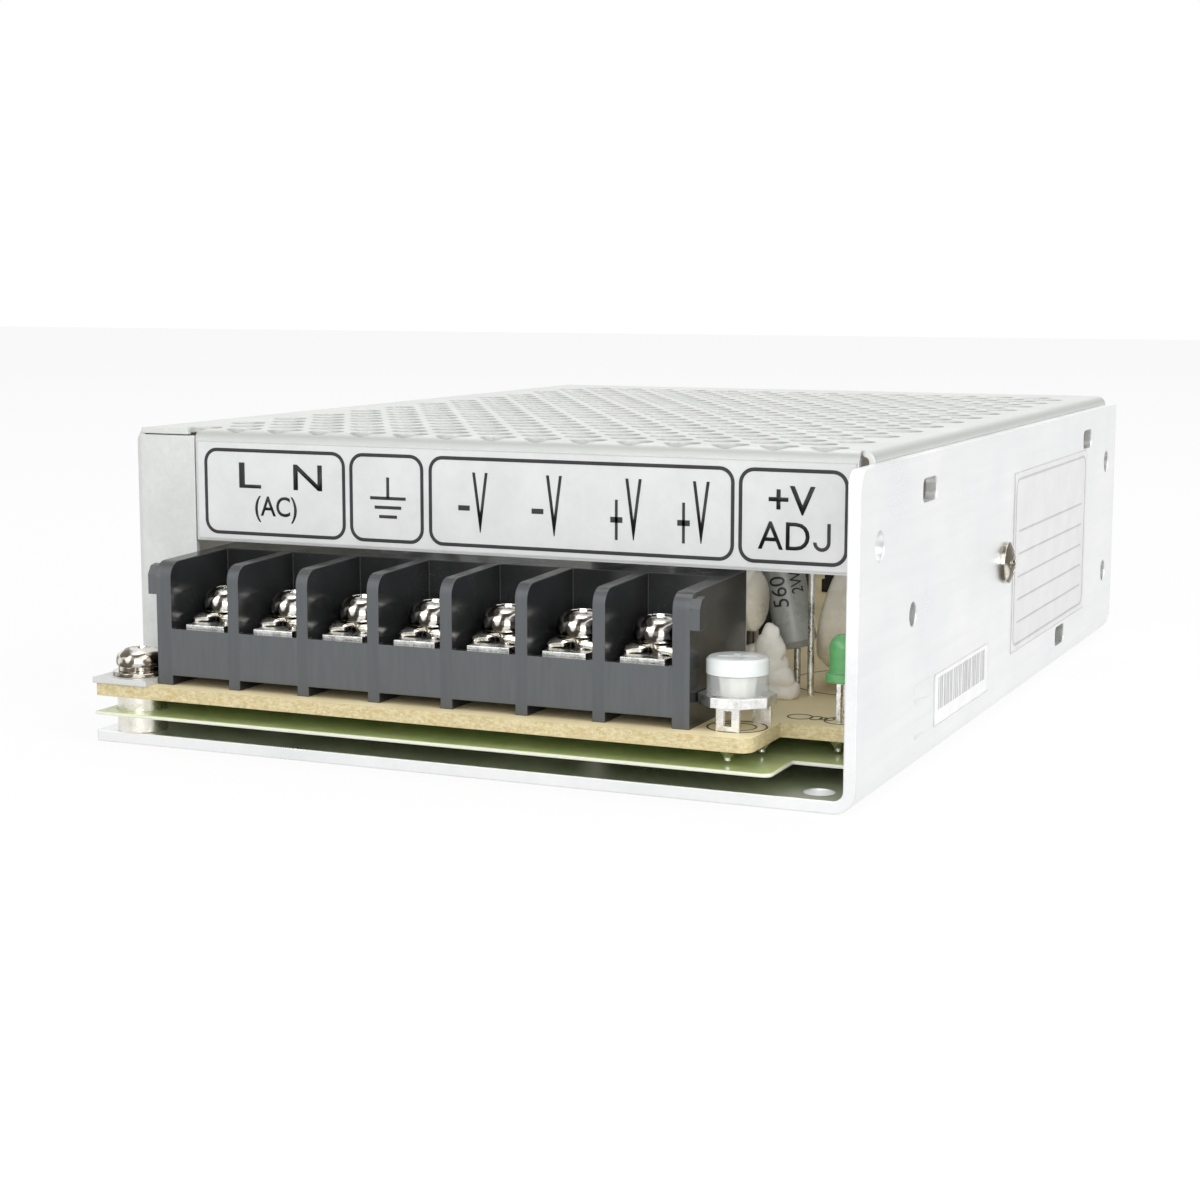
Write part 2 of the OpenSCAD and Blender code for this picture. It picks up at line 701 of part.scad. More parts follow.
module terminal_plates() {
    y0 = block_y0 + low_wall_t + 0.1;
    color("lightgray")
        for (i = [1:terminals])
            translate([term_x(i), 0, 0])
                difference() {
                    union() {
                        // Plate, narrower at the front, with its front edge turned down
                        translate([0, 0, cell_floor])
                            linear_extrude(plate_t)
                                polygon([
                                    [-plate_w * 0.41, y0], [plate_w * 0.41, y0], [plate_w * 0.41, y0 + 1.6], [plate_w / 2, y0 + 2.6],
                                    [plate_w / 2, cell_y1], [-plate_w / 2, cell_y1], [-plate_w / 2, y0 + 2.6], [-plate_w * 0.41, y0 + 1.6]
                                ]);
                        box([-plate_w * 0.41, y0, cell_floor - 0.9], [plate_w * 0.41, y0 + 0.8, cell_floor + eps]);
                        box([-pin_w / 2, cell_y1 - eps, cell_floor], [pin_w / 2, pin_y + pin_d / 2, plate_top]);
                        box([-pin_w / 2, pin_y - pin_d / 2, board_top], [pin_w / 2, pin_y + pin_d / 2, plate_top - eps]);
                    }
                    translate([0, screw_y, 0]) cylinder(d = term_screw_d + slip, h = plate_top + 1);
                }
}

// Clamping washer: a square plate with its front and back edges bent down
module clamp_washer(i) {
    half = term_head_d / 2 - 0.1;
    color("silver")
        translate([term_x(i), screw_y, plate_top + slip / 2])
            difference() {
                slab_x(-half, half, [
                    [-half - 0.4, 0], [-half + 0.4, 0], [-half + 0.8, clamp_h - 0.8], [half - 0.8, clamp_h - 0.8],
                    [half - 0.4, 0], [half + 0.4, 0], [half, clamp_h - slip / 2], [-half, clamp_h - slip / 2]
                ]);
                translate([0, 0, -1]) cylinder(d = term_screw_d + 0.3, h = clamp_h + 2);
                for (s = [-1, 1])
                    translate([0, s * (half + 0.4), -1]) cylinder(r = clamp_notch, h = clamp_h + 2);
            }
}
clamp_notch = 1;

// Terminal screw: domed head with a slot and a cross recess
module terminal_screw(i) {
    color("silver")
        translate([term_x(i), screw_y, clamp_top])
            difference() {
                union() {
                    translate([0, 0, screw_end_z - clamp_top + 0.6]) cylinder(d = term_screw_d, h = clamp_top - screw_end_z);
                    translate([0, 0, screw_end_z - clamp_top]) cylinder(d1 = term_screw_d - 1, d2 = term_screw_d, h = 0.6 + eps);
                    domed_head(term_head_d, term_head_h);
                }
                rotate(25) {
                    box([-term_head_d, -0.4, term_head_h - 1], [term_head_d, 0.4, term_head_h + 1]);
                    for (a = [0, 90])
                        rotate(a) box([-1.7, -0.5, term_head_h - 1.8], [1.7, 0.5, term_head_h + 1]);
                }
            }
}

// Trimmer and lamp ------------------------------------------------------------

module trimmer_frame() {
    color("silver")
        difference() {
            union() {
                translate([trim_c[0], trim_c[1], trim_ring_z])
                    difference() {
                        rotate(22.5) cylinder(r = trim_d / 2 + 0.85, h = trim_ring_t, $fn = 8);
                        translate([0, 0, -1]) cylinder(d = trim_d - 1.8, h = trim_ring_t + 2);
                    }
                box([trim_front_leg[0] - 1.35, trim_front_leg[1] - trim_leg_t / 2, board_top],
                    [trim_front_leg[0] + 1.35, trim_front_leg[1] + trim_leg_t / 2, trim_ring_z + eps]);
                box([trim_rear_leg[0] - 1.05, trim_rear_leg[1] - trim_leg_t / 2, board_top],
                    [trim_rear_leg[0] + 1.05, trim_rear_leg[1] + trim_leg_t / 2, trim_ring_z + eps]);
            }
            box([trim_front_leg[0] - 0.45, trim_front_leg[1] - 1, board_top + 0.6],
                [trim_front_leg[0] + 0.45, trim_front_leg[1] + 1, board_top + 2.3]);
        }
}

module trimmer_base() {
    z0 = trim_ring_z + trim_ring_t;
    color("lightcyan")
        difference() {
            union() {
                translate([trim_c[0], trim_c[1], z0]) cylinder(d = trim_d - 0.1, h = trim_cap_z - z0 - slip / 2, $fn = 12);
                translate([trim_c[0], trim_c[1], z0 - 0.8]) cylinder(d = trim_d - 2, h = 0.8 + eps);
            }
            translate([trim_c[0], trim_c[1], z0 + 0.4]) cylinder(d = trim_stem_d + slip, h = 5);
        }
}
trim_stem_d = 2.6;

module trimmer_cap() {
    color("azure")
        translate([trim_c[0], trim_c[1], trim_cap_z])
            difference() {
                union() {
                    cylinder(d = trim_d, h = trim_cap_h - 0.3);
                    translate([0, 0, trim_cap_h - 0.3]) cylinder(d1 = trim_d, d2 = trim_d - 0.6, h = 0.3);
                    translate([0, 0, -1.6]) cylinder(d = trim_stem_d, h = 1.7);
                }
                rotate(20) box([-2.2, -0.4, trim_cap_h - 1], [2.2, 0.4, trim_cap_h + 1]);
                rotate(110) box([-1.5, -0.4, trim_cap_h - 1], [1.5, 0.4, trim_cap_h + 1]);
            }
}

module lamp_lens() {
    color("mediumseagreen")
        translate([lamp_c[0], lamp_c[1], board_top + lamp_rise]) {
            difference() {
                cylinder(d = lamp_d + 0.9, h = 1);
                box([-lamp_d, -lamp_d, -1], [-lamp_d / 2 - 0.15, lamp_d, 2]);
            }
            cylinder(d = lamp_d, h = lamp_body_h);
            translate([0, 0, lamp_body_h]) sphere(d = lamp_d);
        }
}
lamp_body_h = 3.8;

module lamp_leads() {
    color("silver")
        for (s = [-1, 1])
            translate([lamp_c[0], lamp_c[1] + s * lead_pitch / 2, board_top])
                box([-lead_w / 2, -lead_w / 2, 0], [lead_w / 2, lead_w / 2, lamp_rise]);
}

// Parts seen beside the terminal block ------------------------------------------

resistor_d = 5;
resistor_l = 15;
resistor_lean = 12;
resistor_z = board_top + 5.2;
resistor_wire = 0.8;
module load_resistor() {
    color("gray")
        translate([resistor_c[0], resistor_c[1], resistor_z])
            rotate([0, -resistor_lean, 0]) {
                translate([0, 0, 0.8]) cylinder(d = resistor_d, h = resistor_l - 1.6);
                cylinder(d1 = resistor_d - 1.2, d2 = resistor_d, h = 0.8 + eps);
                translate([0, 0, resistor_l - 0.8 - eps]) cylinder(d1 = resistor_d, d2 = resistor_d - 1.2, h = 0.8);
            }
}

// Leads: one straight down, and one bent over the top and down in front of the body
module resistor_leads() {
    top = [resistor_c[0] - resistor_l * sin(resistor_lean), resistor_c[1], resistor_z + resistor_l * cos(resistor_lean)];
    foot = [resistor_c[0] + resistor_d / 2 + 0.2, resistor_c[1] - resistor_d / 2 - 0.6];
    gap = resistor_wire * sin(resistor_lean);
    bend_z = top[2] + 1.2;
    reach = norm([foot[0] - top[0], foot[1] - top[1]]);
    color("lightgray") {
        translate([resistor_c[0], resistor_c[1], board_top]) cylinder(d = resistor_wire, h = resistor_z - gap - board_top);
        translate([foot[0], foot[1], board_top]) cylinder(d = resistor_wire, h = bend_z - board_top);
        translate([foot[0], foot[1], bend_z]) sphere(d = resistor_wire + slip / 2);
        translate([top[0], top[1], bend_z])
            rotate([0, 90, atan2(foot[1] - top[1], foot[0] - top[0])]) cylinder(d = resistor_wire, h = reach);
        translate([top[0], top[1], bend_z]) sphere(d = resistor_wire + slip / 2);
        translate([top[0], top[1], top[2] + gap]) cylinder(d = resistor_wire, h = bend_z - top[2] - gap);
    }
}

// Coated disc capacitor standing edge-on beside the resistor
module disc_part(d, t, lift) {
    lead = 0.6;
    translate([0, 0, lift + d / 2])
        rotate([0, 90, 0]) {
            translate([0, 0, -t / 2 + 0.6]) cylinder(d = d, h = t - 1.2);
            for (s = [0, 1])
                mirror([0, 0, s]) translate([0, 0, t / 2 - 0.6 - eps]) cylinder(d1 = d, d2 = d - 1.6, h = 0.6);
        }
    for (s = [-1, 1])
        translate([0, s * d * 0.3, 0]) cylinder(d = lead, h = lift + d * 0.2);
}

module snubber_capacitor() {
    color("ivory")
        translate([snubber_c[0], snubber_c[1], board_top]) disc_part(7.2, 2.8, 7.8);
}

// Beads of silicone that hold the tall parts to the board
module silicone_beads() {
    color("linen")
        translate([silicone_c[0], silicone_c[1], board_top]) {
            scale([1, 0.7, 1]) cylinder(d1 = 6.4, d2 = 4.4, h = 3.6);
            translate([-0.9, 0, 3.4])
                intersection() {
                    scale([1, 0.8, 1.5]) sphere(d = 4.6);
                    box([-3, -3, -1], [3, 3, 6]);
                }
        }
}
silicone_c = [resistor_c[0] - 0.8, block_y1 + 4.4];

// Parts under the cover ------------------------------------------------------------

// Coated toroid standing on its rim and leaning towards the side wall
module output_choke() {
    color("antiquewhite")
        translate([choke_c[0], choke_c[1], board_top + choke_r * cos(choke_lean) + choke_t / 2 * sin(choke_lean)])
            rotate([0, 90 + choke_lean, 0])
                translate([0, 0, -choke_t / 2])
                    rotate_extrude()
                        polygon([
                            [choke_hole_r, 1.2], [choke_hole_r + 1.2, 0], [choke_r - 1.6, 0], [choke_r - 0.5, 0.5], [choke_r, 1.6],
                            [choke_r, choke_t - 1.6], [choke_r - 0.5, choke_t - 0.5], [choke_r - 1.6, choke_t],
                            [choke_hole_r + 1.2, choke_t], [choke_hole_r, choke_t - 1.2]
                        ]);
}
choke_lean = 17;
choke_hole_r = 3;

// Upright electrolytic capacitor with a rolled groove and a scored top
module can_capacitor(d, h) {
    groove = 0.4;
    difference() {
        cylinder(d = d, h = h);
        translate([0, 0, 2])
            difference() {
                cylinder(d = d + 1, h = 1);
                translate([0, 0, -1]) cylinder(d = d - 2 * groove, h = 3);
            }
        for (a = [0, 90])
            rotate(a) translate([-d * 0.35, -0.2, h - 0.3]) cube([d * 0.7, 0.4, 1]);
    }
}

module output_capacitors() {
    color("darkslategray")
        for (dx = [-1, 0])
            for (dy = [0, 1])
                translate([out_cap_c[0] + dx * (out_cap_d + 1), out_cap_c[1] + dy * (out_cap_d + 1), board_top])
                    can_capacitor(out_cap_d, out_cap_h);
}

fuse_x = board_x0 + 5;
fuse_y = block_y1 + 4;
fuse_d = 5;
fuse_l = 20;
fuse_cap_l = 5;
fuse_z = board_top + 4;
module fuse_tube() {
    color("beige")
        translate([fuse_x, fuse_y + 0.5, fuse_z])
            rotate([-90, 0, 0]) cylinder(d = fuse_d, h = fuse_l - 1);
}

module fuse_caps() {
    wall = 0.4;
    color("silver")
        for (s = [0, 1])
            translate([fuse_x, fuse_y + fuse_l / 2, 0])
                mirror([0, s, 0])
                    translate([0, -fuse_l / 2, 0])
                        difference() {
                            union() {
                                translate([0, 0, fuse_z]) rotate([-90, 0, 0]) cylinder(d = fuse_d + 2 * wall, h = fuse_cap_l);
                                box([-0.5, 1, board_top], [0.5, 2, fuse_z - fuse_d / 2]);
                            }
                            translate([0, 0.5, fuse_z]) rotate([-90, 0, 0]) cylinder(d = fuse_d + slip / 2, h = fuse_cap_l);
                        }
}

module inrush_thermistor() {
    color("darkolivegreen")
        translate([fuse_x + 9.5, block_y1 + 6.5, board_top]) disc_part(10, 4.5, 2);
}

mains_cap_w = 18;
mains_cap_d = 8;
mains_cap_x = fuse_x + 16;
module mains_capacitor() {
    color("goldenrod")
        difference() {
            box([mains_cap_x, block_y1 + 4, board_top],
                [mains_cap_x + mains_cap_w, block_y1 + 4 + mains_cap_d, board_top + x_cap_h]);
            box([mains_cap_x + 1, block_y1 + 3, board_top - 1],
                [mains_cap_x + mains_cap_w - 1, block_y1 + 5 + mains_cap_d, board_top + 0.5]);
        }
}

module safety_capacitors() {
    color("cornflowerblue")
        for (x = [board_x0 + 46.5, board_x0 + 62.5])
            translate([x, block_y1 + 7, board_top]) disc_part(8, 3.6, 2.4);
}

line_choke_c = [board_x0 + 12.5, block_y1 + 36];
line_choke_h = 7;
line_choke_in = 4.6;
wire_t = 1.3;

// Ring between two radii, standing on z = 0
module ring(r1, r2, h) {
    difference() {
        cylinder(r = r1, h = h);
        translate([0, 0, -1]) cylinder(r = r2, h = h + 2);
    }
}

module line_choke_core() {
    color("darkgreen")
        translate([line_choke_c[0], line_choke_c[1], board_top + wire_t])
            ring(line_choke_r, line_choke_in, line_choke_h);
}

module line_choke_windings() {
    color("chocolate")
        translate([line_choke_c[0], line_choke_c[1], board_top])
            intersection() {
                difference() {
                    ring(line_choke_r + wire_t, line_choke_in - wire_t, line_choke_h + 2 * wire_t);
                    translate([0, 0, wire_t - slip / 2])
                        ring(line_choke_r + slip / 2, line_choke_in - slip / 2, line_choke_h + slip);
                }
                linear_extrude(line_choke_h + 2 * wire_t)
                    for (s = [-1, 1])
                        polygon([[s * 0.6, 0], [s * 16, -13], [s * 16, 13]]);
            }
}

// Flat package standing on four flat leads along X
module bridge_rectifier() {
    color("dimgray")
        translate([mains_cap_x, block_y1 + 18, board_top]) {
            difference() {
                box([0, 0, 3.4], [20, 4.4, 17]);
                box([18.5, -1, 15.5], [21, 5, 18]);
                translate([10, -1, 12.5]) rotate([-90, 0, 0]) cylinder(d = 3.2, h = 7);
            }
            for (i = [0:3]) box([2 + i * 5, 1.9, 0], [3 + i * 5, 2.5, 3.5]);
        }
}

bulk_x = board_x0 + 11;
bulk_y = board_y0 + 76;
module bulk_capacitors() {
    color("midnightblue")
        for (i = [0, 1])
            translate([bulk_x, bulk_y + i * (bulk_d + 1.6), board_top]) can_capacitor(bulk_d, bulk_h);
}

sink_x = board_x0 + 18;
sink_y = board_y1 - 30;
sink_l = 24;
sink_h = 22;
module transistor_heatsink() {
    color("silver")
        translate([sink_x, sink_y, board_top]) {
            box([-2.5, 0, 0], [0, sink_l, sink_h]);
            for (i = [0:5])
                box([-8, i * (sink_l - 1.4) / 5, 0], [-2.5 + eps, i * (sink_l - 1.4) / 5 + 1.4, sink_h]);
        }
}

// Transistor package with its metal tab towards -X, standing on three leads
module power_package() {
    box([0, -5, package_lift], [1.3, 5, package_lift + 15.6]);
    box([1.3 - eps, -5, package_lift], [4.5, 5, package_lift + 9.2]);
    for (i = [-1:1]) box([2.2, i * lead_pitch - 0.4, 0], [2.7, i * lead_pitch + 0.4, package_lift + eps]);
}
package_lift = 3;

module switching_transistor() {
    color("dimgray")
        translate([sink_x, sink_y + sink_l / 2, board_top]) power_package();
}

core_c = [board_x0 + 45, board_y0 + 92];
core_z = board_top + 2;
yoke = 5;
centre_leg = 9;
bobbin_t = 0.9;
core_gap = 0.1;

// Two joined E halves with an upright centre leg
module transformer_core() {
    color("dimgray")
        translate([core_c[0], core_c[1], core_z])
            difference() {
                box([-core_w / 2, -core_d / 2, 0], [core_w / 2, core_d / 2, core_h]);
                for (s = [-1, 1])
                    box([min(s * centre_leg / 2, s * (core_w / 2 - yoke)), -core_d, yoke],
                        [max(s * centre_leg / 2, s * (core_w / 2 - yoke)), core_d, core_h - yoke]);
            }
}

module transformer_bobbin() {
    inner_x = centre_leg / 2 + core_gap;
    inner_y = core_d / 2 + core_gap;
    out_x = core_w / 2 - yoke - core_gap;
    out_y = core_d / 2 + 4.6;
    z0 = yoke + core_gap;
    z1 = core_h - yoke - core_gap;
    color("ivory")
        translate([core_c[0], core_c[1], core_z]) {
            difference() {
                union() {
                    box([-inner_x - bobbin_t, -inner_y - bobbin_t, z0], [inner_x + bobbin_t, inner_y + bobbin_t, z1]);
                    for (z = [z0, z1 - bobbin_t]) box([-out_x, -out_y, z], [out_x, out_y, z + bobbin_t]);
                    // Feet with the pins, in front of and behind the core
                    for (s = [-1, 1])
                        box([-out_x, s > 0 ? core_d / 2 + core_gap : -out_y, board_top - core_z],
                            [out_x, s > 0 ? out_y : -core_d / 2 - core_gap, z0 + eps]);
                }
                box([-inner_x, -inner_y, z0 - 1], [inner_x, inner_y, z1 + 1]);
            }
        }
}

winding_t = 2.6;
module transformer_winding() {
    inner_x = centre_leg / 2 + core_gap + bobbin_t;
    inner_y = core_d / 2 + core_gap + bobbin_t;
    build = winding_t;
    z0 = yoke + core_gap + bobbin_t;
    z1 = core_h - yoke - core_gap - bobbin_t;
    color("gold")
        translate([core_c[0], core_c[1], core_z])
            difference() {
                box([-inner_x - build, -inner_y - build, z0 + 0.1], [inner_x + build, inner_y + build, z1 - 0.1]);
                box([-inner_x - slip / 2, -inner_y - slip / 2, z0 - 1], [inner_x + slip / 2, inner_y + slip / 2, z1 + 1]);
            }
}

// Rectifier pressed to the side wall by a clamp plate and one screw
rect_x = wall_in - pad_t;
rect_y = wall_screw_y - 9;
module output_rectifier() {
    color("dimgray")
        translate([rect_x, rect_y, board_top]) mirror([1, 0, 0]) power_package();
}

module rectifier_pad() {
    color("lightslategray")
        difference() {
            box([rect_x, rect_y - 7, board_top + 1], [wall_in, wall_screw_y + 5, board_top + 20]);
            translate([rect_x - 1, wall_screw_y, wall_screw_z])
                rotate([0, 90, 0]) cylinder(d = wall_screw_d + 1, h = 3);
        }
}

clamp_w = 7;
module rectifier_clamp() {
    out = 4.5;
    t = 1.2;
    color("silver")
        difference() {
            translate([rect_x, wall_screw_y, board_top + package_lift + 1.5])
                linear_extrude(clamp_w + 3)
                    polygon([
                        [0, 4], [-t, 4], [-t, -2.2], [-out - t, -3.2], [-out - t, -13],
                        [-out, -13], [-out, -3.9], [0, -3]
                    ]);
            translate([rect_x - 3, wall_screw_y, wall_screw_z])
                rotate([0, 90, 0]) cylinder(d = wall_screw_d + slip, h = 4);
        }
}

module rectifier_screw() {
    color("silver")
        translate([right, wall_screw_y, wall_screw_z])
            rotate([0, 90, 0]) pan_screw(wall_screw_d, wall_screw_d * 1.83, 1.3, chassis_t + pad_t + 3.4);
}

module control_chips() {
    color("dimgray")
        for (c = [[board_x0 + 36, 10], [board_x0 + 60, 5], [board_x0 + 71, 5]])
            translate([c[0], board_y1 - 22, board_top]) {
                box([-3.2, -c[1] / 2, 0.5], [3.2, c[1] / 2, 3.8]);
                for (s = [-1, 1])
                    for (k = [-(c[1] / 5) + 0.5:1:(c[1] / 5) - 0.5])
                        box([s * 3.6 - 0.4, k * lead_pitch - 0.3, 0], [s * 3.6 + 0.4, k * lead_pitch + 0.3, 2]);
            }
}

chassis();
cover();
front_label();
rating_label();
serial_label();
insulating_sheet();
circuit_board();
board_standoffs();
flat_washers();
spring_washers();
board_screws();
cover_screws();
solder_joints();
terminal_block();
terminal_plates();
trimmer_frame();
trimmer_base();
trimmer_cap();
lamp_lens();
lamp_leads();
load_resistor();
resistor_leads();
snubber_capacitor();
silicone_beads();
output_choke();
output_capacitors();
fuse_tube();
fuse_caps();
inrush_thermistor();
mains_capacitor();
safety_capacitors();
line_choke_core();
line_choke_windings();
bridge_rectifier();
bulk_capacitors();
switching_transistor();
transistor_heatsink();
transformer_core();
transformer_bobbin();
transformer_winding();
output_rectifier();
rectifier_pad();
rectifier_clamp();
rectifier_screw();
control_chips();
for (i = [1:terminals]) {
    clamp_washer(i);
    terminal_screw(i);
}
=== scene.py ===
import json
import math

import bmesh
import bpy
from mathutils import Matrix, Vector, noise


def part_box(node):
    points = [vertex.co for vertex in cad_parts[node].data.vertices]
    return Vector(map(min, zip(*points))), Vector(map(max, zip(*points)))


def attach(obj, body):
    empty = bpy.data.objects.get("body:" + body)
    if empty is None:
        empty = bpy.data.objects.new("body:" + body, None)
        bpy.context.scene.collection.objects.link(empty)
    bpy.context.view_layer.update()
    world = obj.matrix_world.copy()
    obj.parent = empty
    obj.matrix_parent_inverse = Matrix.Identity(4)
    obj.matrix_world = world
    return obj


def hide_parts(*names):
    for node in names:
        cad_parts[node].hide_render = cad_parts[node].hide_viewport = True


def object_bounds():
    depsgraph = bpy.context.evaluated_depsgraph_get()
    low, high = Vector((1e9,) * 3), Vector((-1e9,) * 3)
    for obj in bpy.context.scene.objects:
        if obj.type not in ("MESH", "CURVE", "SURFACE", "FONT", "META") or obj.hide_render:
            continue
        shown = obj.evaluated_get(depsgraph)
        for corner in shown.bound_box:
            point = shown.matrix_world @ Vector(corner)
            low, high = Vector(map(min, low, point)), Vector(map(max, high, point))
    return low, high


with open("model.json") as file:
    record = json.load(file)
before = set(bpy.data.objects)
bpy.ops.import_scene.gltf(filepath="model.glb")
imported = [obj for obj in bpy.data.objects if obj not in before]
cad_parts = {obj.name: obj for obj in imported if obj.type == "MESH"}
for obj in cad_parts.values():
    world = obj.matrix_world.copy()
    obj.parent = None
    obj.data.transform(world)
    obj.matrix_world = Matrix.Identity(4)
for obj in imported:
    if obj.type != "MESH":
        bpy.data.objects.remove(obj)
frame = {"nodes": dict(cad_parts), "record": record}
cad_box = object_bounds()
MM = 0.001

# Measures taken from the frame, in metres -------------------------------------

CASE = "case"
label_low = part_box("front_label")[0]
rating_low, rating_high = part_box("rating_label")
serial_low, serial_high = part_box("serial_label")
board_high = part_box("circuit_board")[1]
block_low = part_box("terminal_block")[0]
lens_low, lens_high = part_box("lamp_lens")
lead_low, lead_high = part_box("lamp_leads")
cap_low, cap_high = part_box("trimmer_cap")
base_low, base_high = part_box("trimmer_base")
resistor_low, resistor_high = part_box("load_resistor")
choke_low, choke_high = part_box("output_choke")
silicone_low, silicone_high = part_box("silicone_beads")

screw_1 = sum(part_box("terminal_screw_1"), Vector()) / 2
screw_2 = sum(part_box("terminal_screw_2"), Vector()) / 2
TERMINAL_PITCH = screw_2.x - screw_1.x
POST_X = screw_1.x - TERMINAL_PITCH / 2
POST_W = 1.5 * MM
TERMINALS = 7

INK_RISE = 0.00003  # height of a printed mark over its film, metres
MERGE = 1e-6  # distance at which loose corners are one, metres
SCREW_SHANK = 1.9 * MM
BOARD_HEAD_RISE = 2.2 * MM
RECESS_TURNS = (25, 115)  # degrees, for the two bars of a cross recess
SMOOTH_UP_TO = math.radians(38)

CAMERA_PLACE = (0.115044, -0.289984, 0.055905)
CAMERA_ANGLES = (23.592, 8.169, 0.09)  # yaw, pitch and roll, degrees
CAMERA_LENS = 66.27


# Node groups --------------------------------------------------------------------


def new_group(name, inputs, outputs):
    """An empty shader node group with float inputs {name: default} and typed outputs."""
    group = bpy.data.node_groups.new(name, "ShaderNodeTree")
    for label, default in inputs.items():
        socket = group.interface.new_socket(label, in_out="INPUT", socket_type="NodeSocketFloat")
        socket.default_value = default
    for label, kind in outputs.items():
        group.interface.new_socket(label, in_out="OUTPUT", socket_type=kind)
    return group, group.nodes.new("NodeGroupInput"), group.nodes.new("NodeGroupOutput")


def math_node(tree, operation, first, second=None, clamp=False):
    """A Math node whose inputs are sockets or plain numbers."""
    node = tree.nodes.new("ShaderNodeMath")
    node.operation = operation
    node.use_clamp = clamp
    for index, value in enumerate((first, second)):
        if value is None:
            continue
        if isinstance(value, (int, float)):
            node.inputs[index].default_value = value
        else:
            tree.links.new(value, node.inputs[index])
    return node.outputs[0]


def noise_node(tree, coordinates, scale, detail=4.0, roughness=0.55):
    """A Noise Texture on the given coordinates."""
    node = tree.nodes.new("ShaderNodeTexNoise")
    node.inputs["Detail"].default_value = detail
    node.inputs["Roughness"].default_value = roughness
    if isinstance(scale, (int, float)):
        node.inputs["Scale"].default_value = scale
    else:
        tree.links.new(scale, node.inputs["Scale"])
    tree.links.new(coordinates, node.inputs["Vector"])
    return node.outputs["Fac"]


def stretched(tree, coordinates, scale):
    """Coordinates scaled by a different amount along each axis."""
    node = tree.nodes.new("ShaderNodeMapping")
    node.inputs["Scale"].default_value = scale
    tree.links.new(coordinates, node.inputs["Vector"])
    return node.outputs["Vector"]


def make_soft_edge():
    """Rounds sharp edges in the shading, and masks the outward ones."""
    group, given, out = new_group(
        "soft edge",
        {"Radius": 0.0002, "Wear": 1.0},
        {"Normal": "NodeSocketVector", "Wear": "NodeSocketFloat"},
    )
    bevel = group.nodes.new("ShaderNodeBevel")
    bevel.samples = 4
    group.links.new(given.outputs["Radius"], bevel.inputs["Radius"])
    geometry = group.nodes.new("ShaderNodeNewGeometry")
    dot = group.nodes.new("ShaderNodeVectorMath")
    dot.operation = "DOT_PRODUCT"
    group.links.new(bevel.outputs["Normal"], dot.inputs[0])
    group.links.new(geometry.outputs["Normal"], dot.inputs[1])
    turned = math_node(group, "SUBTRACT", 1.0, dot.outputs["Value"])
    where = group.nodes.new("ShaderNodeTexCoord").outputs["Object"]
    patchy = noise_node(group, where, 900.0, 3.0)
    worn = math_node(group, "MULTIPLY", turned, patchy)
    worn = math_node(group, "MULTIPLY", worn, 9.0, clamp=True)
    worn = math_node(group, "MULTIPLY", worn, given.outputs["Wear"], clamp=True)
    group.links.new(bevel.outputs["Normal"], out.inputs["Normal"])
    group.links.new(worn, out.inputs["Wear"])
    return group


def make_mottle():
    """Soft cloudy patches over fine grain, from 0 to 1."""
    group, given, out = new_group(
        "mottle",
        {"Patch Scale": 120.0, "Grain Scale": 2200.0, "Grain": 0.35},
        {"Patches": "NodeSocketFloat", "Grain": "NodeSocketFloat"},
    )
    where = group.nodes.new("ShaderNodeTexCoord").outputs["Object"]
    patches = noise_node(group, where, given.outputs["Patch Scale"], 3.0)
    grain = noise_node(group, where, given.outputs["Grain Scale"], 2.0, 0.7)
    offset = math_node(group, "SUBTRACT", grain, 0.5)
    blend = math_node(group, "MULTIPLY", offset, given.outputs["Grain"])
    group.links.new(math_node(group, "ADD", patches, blend, clamp=True), out.inputs["Patches"])
    group.links.new(grain, out.inputs["Grain"])
    return group


def make_spangle():
    """Crystal facets of hot-dip zinc: a different tone in each small cell."""
    group, given, out = new_group("zinc spangle", {"Scale": 420.0}, {"Tone": "NodeSocketFloat"})
    where = group.nodes.new("ShaderNodeTexCoord").outputs["Object"]
    warp = group.nodes.new("ShaderNodeMix")
    warp.data_type = "VECTOR"
    warp.inputs["Factor"].default_value = 0.004
    wobble = group.nodes.new("ShaderNodeTexNoise")
    wobble.inputs["Scale"].default_value = 500.0
    group.links.new(where, wobble.inputs["Vector"])
    group.links.new(where, warp.inputs[4])
    group.links.new(wobble.outputs["Color"], warp.inputs[5])
    cells = group.nodes.new("ShaderNodeTexVoronoi")
    group.links.new(given.outputs["Scale"], cells.inputs["Scale"])
    group.links.new(warp.outputs[1], cells.inputs["Vector"])
    split = group.nodes.new("ShaderNodeSeparateColor")
    group.links.new(cells.outputs["Color"], split.inputs["Color"])
    group.links.new(split.outputs["Red"], out.inputs["Tone"])
    return group


